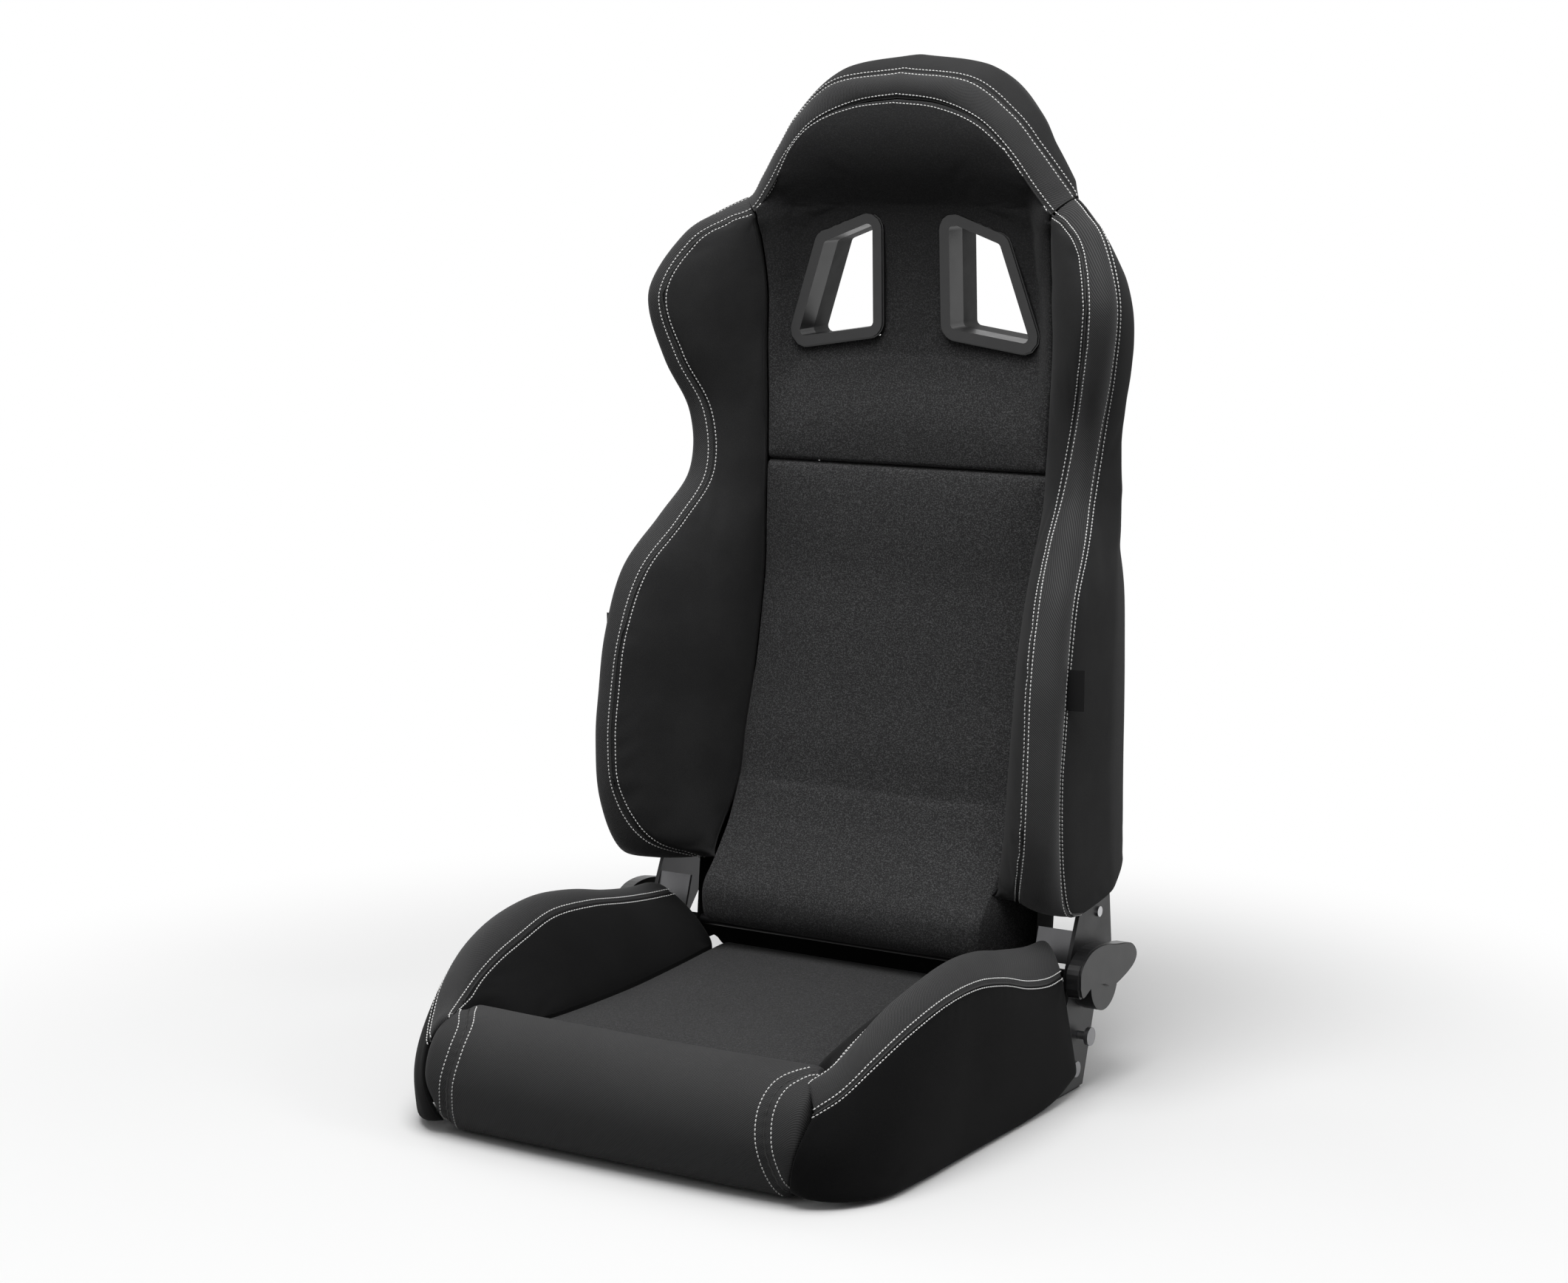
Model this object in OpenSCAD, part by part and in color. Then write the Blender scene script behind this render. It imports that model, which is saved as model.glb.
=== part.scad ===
/* [Seat size] */
// Height of the crown of the headrest above the floor
seat_h = 971; // [940:1:1000]
// Half width over the upholstered sides of the base and the backrest
half_w = 251; // [249:0.5:254]
// Depth from the floor-bolt centre to the front of the front roll
front_reach = 285; // [275:1:290]
// Height of the seat insert above the floor
insert_top = 92; // [88:1:94]
// Half width of the knit centre insert of the backrest
insert_half_w = 157; // [152:1:158]
// Distance from the floor-bolt centre back to the rear cover
back_y = 303; // [300:1:312]

/* [Upholstery] */
// Thickness of the foam behind the upper centre insert
upper_pad_t = 20; // [16:1:21]
// Thickness of the thin side and rear covers
cover_t = 6; // [4:0.5:6.5]
// Crown of the twill band between its two seams
band_crown = 16; // [10:1:18]
// Crown of the bolster faces as a share of their width
face_crown = 0.07; // [0.02:0.01:0.09]
// Clearance between neighbouring upholstery pieces
seam_gap = 0.2; // [0.1:0.05:0.4]

/* [Harness slots] */
// Width of the plastic rim round a harness slot
rim_w = 11.5; // [9:0.5:12.5]
// Height that the rim stands proud of the insert
rim_proud = 5; // [4:0.5:7]
// Wall thickness of the tunnel sleeves
sleeve_t = 3; // [2:0.5:3.5]

/* [Steel frame] */
// Outer radius of the backrest hoop tube
hoop_r = 12; // [10:0.5:12]
// Outer radius of the cross tubes
cross_r = 9; // [7:0.5:9]
// Thickness of the pressed side frames of the base
side_frame_t = 3; // [2.5:0.5:3]
// Height of the side frames of the base
side_frame_h = 44; // [36:1:46]
// Distance between the left and right floor bolts
bolt_dx = 410; // [400:1:412]
// Distance between the front and rear floor bolts
bolt_dy = 290; // [280:1:300]
// Radius of the threaded floor-bolt holes
bolt_r = 4; // [3:0.5:5]

/* [Recliner] */
// Distance of the recline axis behind the floor-bolt centre
hinge_y = 170; // [168:0.5:171]
// Height of the recline axis above the floor
hinge_z = 106; // [105:0.5:107]
// Thickness of the upper recliner plates
upper_plate_t = 4; // [3:0.5:4]
// Thickness of the lower recliner plates
lower_plate_t = 4; // [3:0.5:4]
// Inner face of the upper recliner plates
upper_plate_x = 233.5; // [233:0.5:234]
// Outer radius of the hinge bushes
bush_r = 11; // [9:0.5:11.5]
// Radial running clearance of the hinge bushes and shafts
run_gap = 0.05; // [0.02:0.01:0.09]
// Radius of the cross shaft that links the two levers
shaft_r = 5; // [4:0.5:6]
// Radius of the round hinge covers
disc_r = 28; // [24:1:29]
// Radius over the sector teeth under the hinge
sector_r = 40; // [38:0.5:41]
// Number of notches along each sector
sector_notches = 16; // [10:1:18]

/* [Release lever] */
// Thickness of the lever handles
lever_t = 14; // [10:1:16]
// Length from the hinge axis to the rear tip of the lever
lever_reach = 66; // [60:1:70]

/* [Hidden] */
$fn = 48;

charcoal = "#2b2b2d";
twill = "#232325";
knit = "#333336";
plastic = "#1c1c1e";
steel = "#8b8d90";
black_steel = "#17181a";
fit_gap = 0.3;
skin_x = half_w - cover_t;

// ---- Curves and surfaces ----

// Smooth curve through every control point, run from t = 0 to t = 1
function curve(p, t) =
  let (n = len(p) - 1, s = max(0, min(1, t)) * n, i = min(floor(s), n - 1), f = s - i,
       b = p[i], c = p[i + 1],
       a = i == 0 ? 2 * b - c : p[i - 1],
       d = i == n - 1 ? 2 * c - b : p[i + 2])
  0.5 * (2 * b + (c - a) * f + (2 * a - 5 * b + 4 * c - d) * f * f
         + (3 * b - a - 3 * c + d) * f * f * f);
function mix(a, b, f) = a + (b - a) * f;
function unit(v) = v / norm(v);
function flip(p) = [-p[0], p[1], p[2]];
function steps(n) = [for (i = [0 : n]) i / n];
function smooth(e0, e1, v) =
  let (f = max(0, min(1, (v - e0) / (e1 - e0)))) f * f * (3 - 2 * f);
// Flat-topped swell, 0 on the rim of a panel and 1 over its middle
function pillow(u, v, p = 4) = (1 - pow(abs(2 * u - 1), p)) * (1 - pow(abs(2 * v - 1), p));
// Patch spanned by four edges: low and high run along u, left and right along v
function patch(low, high, left, right) =
  let (n = len(low) - 1, m = len(left) - 1)
  [for (j = [0 : m]) [for (i = [0 : n]) let (u = i / n, v = j / m)
    mix(low[i], high[i], v) + mix(left[j], right[j], u)
    - mix(mix(low[0], low[n], u), mix(high[0], high[n], u), v)]];

// Closed solid between an outer grid of points and an inner one of the same size
module padded(outer, inner) {
  nu = len(outer);
  nv = len(outer[0]);
  points = [for (grid = [outer, inner]) for (row = grid) each row];
  function at(i, j, k) = k * nu * nv + i * nv + j;
  function quad(a, b, c, d) = [[a, b, c], [a, c, d]];
  faces = [
    for (i = [0 : nu - 2]) for (j = [0 : nv - 2])
      each quad(at(i, j, 0), at(i + 1, j, 0), at(i + 1, j + 1, 0), at(i, j + 1, 0)),
    for (i = [0 : nu - 2]) for (j = [0 : nv - 2])
      each quad(at(i, j, 1), at(i, j + 1, 1), at(i + 1, j + 1, 1), at(i + 1, j, 1)),
    for (i = [0 : nu - 2])
      each quad(at(i, 0, 0), at(i, 0, 1), at(i + 1, 0, 1), at(i + 1, 0, 0)),
    for (i = [0 : nu - 2])
      each quad(at(i, nv - 1, 0), at(i + 1, nv - 1, 0), at(i + 1, nv - 1, 1), at(i, nv - 1, 1)),
    for (j = [0 : nv - 2])
      each quad(at(0, j, 0), at(0, j + 1, 0), at(0, j + 1, 1), at(0, j, 1)),
    for (j = [0 : nv - 2])
      each quad(at(nu - 1, j, 0), at(nu - 1, j, 1), at(nu - 1, j + 1, 1), at(nu - 1, j + 1, 0))
  ];
  polyhedron(points = points, faces = faces, convexity = 8);
}

module both_sides(side) {
  if (side < 0) mirror([1, 0, 0]) children();
  else children();
}

module rod(from, to, r) {
  v = to - from;
  translate(from) rotate([0, acos(v[2] / norm(v)), atan2(v[1], v[0])]) cylinder(h = norm(v), r = r);
}

// Bent tube: one skin of round sections along the path, square to it at each place
module bent_tube(path, r, sides = 16) {
  n = len(path);
  function run_dir(i) = unit(path[min(n - 1, i + 1)] - path[max(0, i - 1)]);
  points = [for (i = [0 : n - 1])
    let (d = run_dir(i), a = unit(cross(d, [0, 1, 0])), b = cross(a, d))
    for (k = [0 : sides - 1]) path[i] + r * (a * cos(360 * k / sides) + b * sin(360 * k / sides))];
  skin = [for (i = [0 : n - 2]) for (k = [0 : sides - 1])
    let (a = i * sides + k, b = i * sides + (k + 1) % sides)
    each [[a, b + sides, a + sides], [a, b, b + sides]]];
  polyhedron(points = points, faces = concat(skin,
    [[for (k = [sides - 1 : -1 : 0]) k], [for (k = [0 : sides - 1]) (n - 1) * sides + k]]));
}

// Prism along +X of an outline drawn in (y, z)
module prism_x(x0, x1) {
  translate([x0, 0, 0]) rotate([90, 0, 90]) linear_extrude(x1 - x0) children();
}

module disc_x(x0, x1, r, y = hinge_y, z = hinge_z) {
  translate([x0, y, z]) rotate([0, 90, 0]) cylinder(h = x1 - x0, r = r);
}

// ---- Backrest seams, right half, from the bottom up ----

bottom_n = 14;
// Share of the front seam that belongs to the bolster; the rest is the head
head_t = bottom_n / 19;
// Seam between the bolster face and the twill band, then round the head
front_seam = [
  [176, 156, 172], [206, 95, 200], [224, 66, 250], [half_w - 23, 62, 300],
  [half_w - 24, 67, 349], [half_w - 27, 76, 405], [217, 104, 467], [203, 152, 515],
  [196, 193, 560], [204, 201, 620], [222, 178, 675], [half_w - 18, 164, 735],
  [214, 188, 785], [186, 212, 808], [166, 225, 818], [145, 224, 842],
  [120, 220, seat_h - 95], [88, 219, seat_h - 66], [45, 222, seat_h - 50], [0, 222, seat_h - 45]
];
// Seam between the twill band and the side cover, then round the head
outer_seam = [
  [half_w - 4, 150, 170], [half_w - 1, 113, 182], [half_w - 1, 99, 232], [half_w - 1, 96, 300],
  [half_w - 1, 101, 349], [half_w - 2, 110, 405], [half_w - 5, 128, 467], [236, 170, 515],
  [225, 205, 560], [230, 214, 620], [half_w - 5, 199, 675], [half_w + 3, 191, 737],
  [233, 206, 795], [203, 231, 820], [181, 248, 834], [167, 246, 852],
  [146, 241, seat_h - 91], [121, 235, seat_h - 60], [76, 231, seat_h - 28], [0, 233, seat_h - 18]
];
// Seam between the centre insert and the bolster face
insert_seam = [
  [insert_half_w + 1, 138, 177], [insert_half_w + 1, 153, 200], [insert_half_w, 184, 250],
  [insert_half_w, 196, 300], [insert_half_w, 210, 349], [insert_half_w, 222, 405],
  [insert_half_w, 232, 460], [insert_half_w, 234, 510], [insert_half_w, 236, 560],
  [insert_half_w + 1, 239, 620], [insert_half_w + 3, 241, 680], [insert_half_w + 2, 240, 740],
  [161, 233, 785], [163, 227, 805], [163, 226, 811]
];
// The insert seam carried on down round the apron that overhangs the seat
apron_seam = [
  [insert_half_w - 1, 140, 118], [insert_half_w - 1, 118, 122], [insert_half_w, 113, 143],
  [insert_half_w, 117, 161], [insert_half_w, 135, 180], [insert_half_w, 164, 216],
  [insert_half_w, 185, 254]
];
// Places on the seams where the horizontal seam crosses the insert
cross_seam_t = 8.2 / bottom_n;

// Side cover: how far in the rear corner turns, how far it swells, where the back lies
corner_in = [[0, 80], [0.1, 92], [0.6, 90], [0.64, 80], [0.7, 76], [0.74, 76], [0.85, 74], [0.92, 62],
  [1, 50]];
corner_swell = [[0, 0], [0.36, 0], [0.42, 12], [0.5, 2], [0.58, 0], [0.72, 0], [0.78, 8], [0.85, 15],
  [0.91, 23], [0.95, 28], [1, 29]];
corner_square = [[0, 0.6], [0.4, 0.65], [0.54, 0.85], [0.6, 1.1], [0.64, 1.6], [0.72, 1.5], [0.78, 1.05],
  [1, 1]];
back_plane = [[0, back_y - 14], [0.1, back_y], [0.4, back_y + 2], [0.53, back_y + 4], [0.74, back_y],
  [0.86, back_y + 18], [1, back_y + 21]];
// The lower edge of the side cover climbs towards the rear
rear_rise = [[0, 10], [0.053, 42], [0.098, 22], [0.15, 0], [1, 0]];

function seam_dir(t) =
  let (d = curve(outer_seam, t + 0.012) - curve(outer_seam, t - 0.012)) unit([d[2], 0, -d[0]]);
// Point of the side cover: t along the seam, f from 0 at the seam to 1 at the rear edge
function side_point(t, f, inset = 0) =
  let (o = curve(outer_seam, t), e = seam_dir(t), a = 90 * f, p = lookup(t, corner_square),
       c = pow(cos(a), p), s = pow(sin(a), p), depth = lookup(t, back_plane) - inset - o[1])
  o + e * (lookup(t, corner_swell) * sin(2 * a) - lookup(t, corner_in) * (1 - c) - inset * c)
    + [0, depth * s, 0] + [0, 0, lookup(t, rear_rise) * s];
// Point of the twill band: f from 0 at the front seam to 1 at the outer seam
band_fullness = [[0, 1], [0.35, 1], [0.45, 0.69], [0.58, 0.81], [0.63, 0.38], [0.68, 0.19], [0.74, 0.19],
  [1, 0.31]];
function band_point(t, f) =
  let (a = curve(front_seam, t), b = curve(outer_seam, t), e = seam_dir(t), ch = b - a,
       across = ch * e, back = ch[1], n = unit(e * back - [0, 1, 0] * across))
  a + ch * f + n * (band_crown * lookup(t, band_fullness) * sin(180 * f));
// Point of a bolster face: f from 0 at the insert seam to 1 at the front seam
function face_point(t, f) =
  let (a = curve(insert_seam, t / head_t), b = curve(front_seam, t))
  mix(a, b, f) - [0.8, 0.6, 0] * (face_crown * norm(b - a) * sin(180 * f));

face_steps = [0, 0.2, 0.45, 0.7, 0.9];
band_steps = [0, 0.2, 0.5, 0.8, 1];

function bolster_row(t) = [
  for (f = face_steps) face_point(t, f) + (f == 0 ? [seam_gap, 0, 0] : [0, 0, 0]),
  for (f = band_steps) band_point(t, f)
];
// Hidden inner wall of a bolster, a straight span behind its foam
function bolster_inner_row(t) =
  let (lift = 1 - smooth(0, 0.12, t),
       a = curve(insert_seam, t / head_t) + [5, 12.5, 14 * lift],
       b = curve(outer_seam, t) + [-12 - 8 * lift, 0.5, 7 * lift],
       n = len(face_steps) + len(band_steps) - 1)
  [for (f = steps(n)) mix(a, b, f)];

module bolster(side) {
  color(charcoal) both_sides(side)
    padded([for (t = side_rows) bolster_row(t)],
           [for (t = side_rows) bolster_inner_row(min(t, head_t * 0.982))]);
}
module back_bolster_left() bolster(-1);
module back_bolster_right() bolster(1);

// Rows shared by the side cover and the rear cover beside it
side_rows = [for (k = steps(24)) head_t * (0.004 + 0.99 * k)];
arch_n = 10;
arch_from = head_t * 1.015;
rear_top = 4;

module side_cover(side) {
  rows = side_rows;
  across = [0.003, 0.02, 0.07, 0.16, 0.32, 0.6, 1];
  color(charcoal) both_sides(side)
    padded([for (t = rows) [for (f = across) side_point(t, f)]],
           [for (t = rows) [for (f = across) side_point(t, f, cover_t)]]);
}
module back_side_panel_left() side_cover(-1);
module back_side_panel_right() side_cover(1);

// Band and rear of the headrest, one arch from shoulder to shoulder
function arch(s) = s <= 1 ? head_t + (1 - head_t) * s : head_t + (1 - head_t) * (2 - s);
function arch_row(s, inset) =
  let (t = max(arch(s), inset ? arch_from : head_t * 1.004),
       outer = [for (f = [0, 0.25, 0.5, 0.75, 1]) band_point(t, f),
                for (f = [0.12, 0.3, 0.5, 0.7, 1]) side_point(t, f)],
       e = seam_dir(t),
       inner = [for (f = [0, 0.25, 0.5, 0.75, 1])
                  mix(curve(front_seam, t) + e * seam_gap + [0, 24, 0], curve(outer_seam, t) - e * 14, f),
                for (f = [0.12, 0.3, 0.5, 0.7, 1]) side_point(t, f, cover_t) - e * (8 * (1 - f))],
       row = inset ? inner : outer)
  s <= 1 ? row : [for (p = row) flip(p)];
module head_band() {
  rows = [for (k = steps(2 * arch_n)) 2 * k];
  color(twill) padded([for (s = rows) arch_row(s, false)], [for (s = rows) arch_row(s, true)]);
}

// ---- Backrest centre ----

// Line of the steel hoop seen from the side
hoop_line = [[118, 196], [165, 205], [280, 226], [540, 266], [700, 281], [780, 283], [850, 290],
  [905, 297], [960, 301]];
hoop_x = skin_x - 53;
hoop_top_z = seat_h - 66;
web_t = 2;

function lower_edge(f) = curve(apron_seam, f);
function lower_side(f) =
  let (z0 = apron_seam[0][2], split = 0.45)
  f < split ? curve(apron_seam, f / split)
            : curve(insert_seam, mix(2 / bottom_n, cross_seam_t, (f - split) / (1 - split)));
module back_insert_lower() {
  n = 8;
  m = 16;
  side = [for (v = steps(m)) lower_side(v)];
  rows = [for (j = [0 : m]) [for (u = steps(n))
    let (p = side[j], v = j / m)
    [mix(-p[0], p[0], u) * (1 - seam_gap / insert_half_w), p[1] - 9 * pillow(u, mix(0.06, 1, v)), p[2]
      - (j == m ? seam_gap : 0)]]];
  inner = [for (j = [0 : m]) [for (u = steps(n))
    let (p = side[j])
    [mix(-p[0], p[0], u) * 0.995, lookup(p[2], hoop_line) - cross_r - fit_gap,
      max(p[2], apron_seam[0][2] + 1.5 * j)]]];
  color(knit) padded(rows, inner);
}

function upper_side(v) =
  let (split = 0.7)
  v < split ? curve(insert_seam, mix(cross_seam_t, 1, v / split))
            : curve(front_seam, mix(head_t, 16 / 19, (v - split) / (1 - split)));
function upper_top(u) = let (s = 2 * u - 1, t = 1 - abs(s) * 3 / 19, p = curve(front_seam, t))
  s < 0 ? flip(p) : p;
// The slots sit in a flat recess; the head above them bulges forwards
function recess(x, z) =
  19 * smooth(600, 680, z) * (1 - smooth(822, 858, z)) * (1 - smooth(132, 162, abs(x)))
  - 13 * smooth(835, 890, z) * (1 - pow(min(1, norm([x / 130, (z - 870) / 75])), 3));
module back_insert_upper() {
  n = 12;
  m = 13;
  right = [for (v = steps(m)) upper_side(v)];
  left = [for (p = right) flip(p)];
  low = [for (u = steps(n)) mix(left[0], right[0], u)];
  high = [for (u = steps(n)) upper_top(u)];
  flat = patch(low, high, left, right);
  outer = [for (row = flat) [for (p = row)
    [p[0] * (1 - seam_gap / insert_half_w), p[1] + recess(p[0], p[2]), p[2]]]];
  inner = [for (row = flat) [for (p = row)
    [p[0] * (1 - seam_gap / insert_half_w),
     max(p[1] + upper_pad_t - 3, lookup(p[2], hoop_line) - hoop_r - 1.3), p[2]]]];
  color(knit) difference() {
    padded(outer, inner);
    for (s = [-1, 1]) both_sides(s) {
      slot_prism(slot_outline(rim_w - sleeve_t - fit_gap), -60, 30);
      slot_prism(slot_outline(-fit_gap), -fit_gap, 40);
    }
  }
}

module back_rear_cover() {
  n = 2 * (arch_n - rear_top);
  rows = concat(side_rows, [arch_from], [for (i = [1 : rear_top]) arch(i / arch_n)]);
  right = [for (t = rows) side_point(t, 1)];
  left = [for (p = right) flip(p)];
  low = [for (u = steps(n)) mix(right[0], left[0], u)];
  high = [for (u = steps(n)) let (s = 2 * u - 1, p = side_point(mix(1, arch(rear_top / arch_n), abs(s)), 1))
    s > 0 ? flip(p) : p];
  flat = patch(low, high, right, left);
  scale_in = 1 - 2 / insert_half_w;
  color(charcoal) difference() {
    padded([for (row = flat) [for (p = row) [p[0] * scale_in, p[1], p[2]]]],
           [for (row = flat) [for (p = row) [p[0] * scale_in, p[1] - cover_t, p[2]]]]);
    for (s = [-1, 1]) both_sides(s) {
      slot_prism(slot_outline(rim_w - sleeve_t - fit_gap), -80, 30);
      slot_prism(slot_outline(2 - fit_gap), -80, -tunnel_end + fit_gap);
    }
  }
}

// Cloth valance that hangs from the low cross tube and closes the gap over the seat
valance_w = 384;
valance_t = 2.5;
valance_low = [200, 72];
valance_high = [214, 226];
module back_valance() {
  run = valance_high - valance_low;
  color(charcoal) translate([-valance_w / 2, valance_low[0], valance_low[1]])
    rotate([atan2(run[1], run[0]) - 90, 0, 0]) cube([valance_w, valance_t, norm(run)]);
}

// ---- Harness slots ----

slot_z = 750;
slot_y = back_y - 45.5;
slot_tilt = 2;
// Sharp corners of the rim's outer edge, in (x, height from slot_z)
slot_corners = [[148, -71], [32, -54], [31, 75], [107, 47]];
corner_r = 17;

// Corners moved inwards by d, edge by edge
function inset_corner(c, i, d) =
  let (n = len(c), p = c[(i + n - 1) % n], q = c[i], r = c[(i + 1) % n],
       a = unit(q - p), b = unit(r - q), na = [a[1], -a[0]], nb = [b[1], -b[0]])
  q + (na + nb) * (d / (1 + na * nb));
// Outline of the slot moved inwards by d, each corner an arc
function slot_outline(d) =
  let (c = [for (i = [0 : 3]) inset_corner(slot_corners, i, d)], r = max(5, corner_r - d))
  [for (i = [0 : 3]) let (p = c[(i + 3) % 4], q = c[i], s = c[(i + 1) % 4],
      a = unit(p - q), b = unit(s - q), half = acos(a * b) / 2,
      centre = q + unit(a + b) * (r / sin(half)),
      from = q + a * (r / tan(half)) - centre, to = q + b * (r / tan(half)) - centre)
    for (k = [0 : 5]) let (v = mix(from, to, k / 5)) centre + unit(v) * r];
// Prism square to the slot's plane; 0 is the fabric under the rim, + is forwards
module slot_prism(outline, from, to) {
  translate([0, slot_y, slot_z]) rotate([90 + slot_tilt, 0, 0])
    translate([0, 0, from]) linear_extrude(to - from) polygon(outline);
}
tunnel_split = 22;
tunnel_end = 47;

module bezel(side) {
  color(plastic) both_sides(side) difference() {
    union() {
      slot_prism(slot_outline(0), 0, rim_proud - 1.5);
      slot_prism(slot_outline(1.5), rim_proud - 1.6, rim_proud);
      slot_prism(slot_outline(rim_w - sleeve_t), -tunnel_split, 0.1);
    }
    slot_prism(slot_outline(rim_w), -tunnel_split - 1, rim_proud + 1);
  }
}
module harness_bezel_left() bezel(-1);
module harness_bezel_right() bezel(1);

module tunnel(side) {
  color(plastic) both_sides(side) difference() {
    union() {
      slot_prism(slot_outline(rim_w - sleeve_t), -tunnel_end, -tunnel_split - seam_gap);
      slot_prism(slot_outline(2), -tunnel_end - 3, -tunnel_end + 0.1);
    }
    slot_prism(slot_outline(rim_w), -tunnel_end - 4, -tunnel_split);
  }
}
module harness_tunnel_left() tunnel(-1);
module harness_tunnel_right() tunnel(1);

// ---- Backrest steelwork ----

function hoop_point(x, z) = [x, lookup(z, hoop_line), z];
hoop_half = [
  hoop_point(upper_plate_x - hoop_r - 0.6, 175), hoop_point(upper_plate_x - hoop_r - 0.6, 250),
  hoop_point(upper_plate_x - hoop_r - 8, 330), hoop_point(hoop_x, 560), hoop_point(hoop_x - 9, 690),
  hoop_point(137, 772), hoop_point(93, 845),
  hoop_point(58, hoop_top_z)
];
hoop_n = len(hoop_half);
hoop_whole = concat(hoop_half, [for (i = [1 : hoop_n]) flip(hoop_half[hoop_n - i])]);
module back_hoop() {
  color(black_steel) bent_tube([for (t = steps(56)) curve(hoop_whole, t)], hoop_r);
}

cross_heights = [235, 640, 845];
function hoop_half_w(z) = lookup(z, [for (t = steps(28)) let (p = curve(hoop_whole, t / 2)) [p[2], p[0]]]);
function hoop_slope(z) = (hoop_half_w(z - hoop_r) - hoop_half_w(z + hoop_r)) / (2 * hoop_r);
module back_cross_tubes() {
  color(black_steel) for (z = cross_heights) {
    reach = hoop_half_w(z + cross_r) - hoop_r * norm([1, hoop_slope(z)]) - fit_gap;
    translate([-reach, lookup(z, hoop_line), z]) rotate([0, 90, 0]) cylinder(h = 2 * reach, r = cross_r);
  }
}

webbing_heights = [290, 360, 430, 500];
webbing_h = 36;
module back_webbing() {
  color("#26262a") for (z = webbing_heights)
    translate([-hoop_half_w(z) + hoop_r, lookup(z + webbing_h / 2, hoop_line) - cross_r, z - webbing_h / 2])
      cube([2 * (hoop_half_w(z) - hoop_r), web_t, webbing_h]);
}

// ---- Recliner ----

hub_r = 32;
bush_bore = bush_r + run_gap;
lower_plate_x = upper_plate_x + upper_plate_t + 0.5;
notch_step = 80 / sector_notches;
sector_from = -146;
flange_low = [150, 122];
flange_high = [160, 152];
flange_w = 36;
screw_at = [202, 163];

module sector() {
  arc = [for (a = [sector_from : 2 : sector_from + 86]) [cos(a), sin(a)] * sector_r];
  difference() {
    polygon(concat([[0, 0]], arc));
    for (k = [0 : sector_notches - 1]) rotate(sector_from + 4 + k * notch_step)
      polygon([[sector_r - 3, -0.4], [sector_r + 1, -1.2], [sector_r + 1, 1.2], [sector_r - 3, 0.4]]);
  }
}
module upper_plate(side) {
  x1 = upper_plate_x + upper_plate_t;
  run = flange_high - flange_low;
  color(black_steel) both_sides(side) difference() {
    union() {
      prism_x(upper_plate_x, x1) hull() {
        translate([hinge_y, hinge_z]) circle(r = hub_r);
        polygon([[164, 162], [196, 240], [217, 240], [227, 172], [232, 126]]);
      }
      prism_x(upper_plate_x, x1) translate([hinge_y, hinge_z]) sector();
      translate([upper_plate_x - flange_w, flange_low[0], flange_low[1]])
        rotate([atan2(run[1], run[0]), 0, 0]) cube([flange_w + 0.1, norm(run), 3]);
    }
    disc_x(upper_plate_x - 1, x1 + 1, bush_bore);
    disc_x(upper_plate_x - 1, x1 + 1, 3, screw_at[0], screw_at[1]);
  }
}
module upper_recliner_plate_left() upper_plate(-1);
module upper_recliner_plate_right() upper_plate(1);

module plate_screws() {
  color(steel) for (s = [-1, 1]) both_sides(s) {
    disc_x(upper_plate_x + upper_plate_t, upper_plate_x + upper_plate_t + 2.2, 5, screw_at[0], screw_at[1]);
    disc_x(upper_plate_x - 3, upper_plate_x + upper_plate_t + 0.1, 2.9, screw_at[0], screw_at[1]);
  }
}

stud_at = [156, 54];
lower_bolt_y = [112, 150];
lower_bolt_z = 22;
module lower_plate(side) {
  x0 = lower_plate_x;
  x1 = x0 + lower_plate_t;
  color(black_steel) both_sides(side) difference() {
    prism_x(x0, x1) hull() {
      translate([hinge_y, hinge_z]) circle(r = 27);
      polygon([[104, 4], [165, 4], [170, 60], [140, 96], [104, 42]]);
    }
    disc_x(x0 - 1, x1 + 1, bush_bore);
    disc_x(x0 - 1, x1 + 1, stud_r + run_gap, stud_at[0], stud_at[1]);
    for (y = lower_bolt_y) disc_x(x0 - 1, x1 + 1, frame_bolt_r + 0.3, y, lower_bolt_z);
  }
}
module lower_recliner_plate_left() lower_plate(-1);
module lower_recliner_plate_right() lower_plate(1);

stud_r = 4;
frame_bolt_r = 4;
module hinge_bush(side) {
  color(steel) both_sides(side) difference() {
    union() {
      disc_x(upper_plate_x - 0.3, lower_plate_x + lower_plate_t, bush_r);
      disc_x(upper_plate_x - 3.3, upper_plate_x - 0.3, bush_r + 3);
    }
    disc_x(upper_plate_x - 5, lower_plate_x + lower_plate_t + 1, shaft_r + run_gap);
  }
}
module hinge_bush_left() hinge_bush(-1);
module hinge_bush_right() hinge_bush(1);

cover_x = lower_plate_x + lower_plate_t;
module hinge_cover(side) {
  color(plastic) both_sides(side) difference() {
    disc_x(cover_x, cover_x + 3, disc_r - 1);
    disc_x(cover_x - 1, cover_x + 4, shaft_r + 0.5);
  }
}
module hinge_cover_left() hinge_cover(-1);
module hinge_cover_right() hinge_cover(1);

module latch_stud(side) {
  head_x = cover_x + 9;
  color(steel) both_sides(side) {
    disc_x(upper_plate_x - 2, head_x + 0.1, stud_r, stud_at[0], stud_at[1]);
    disc_x(head_x, head_x + 4, 8.8, stud_at[0], stud_at[1]);
  }
}
module latch_stud_left() latch_stud(-1);
module latch_stud_right() latch_stud(1);

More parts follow.
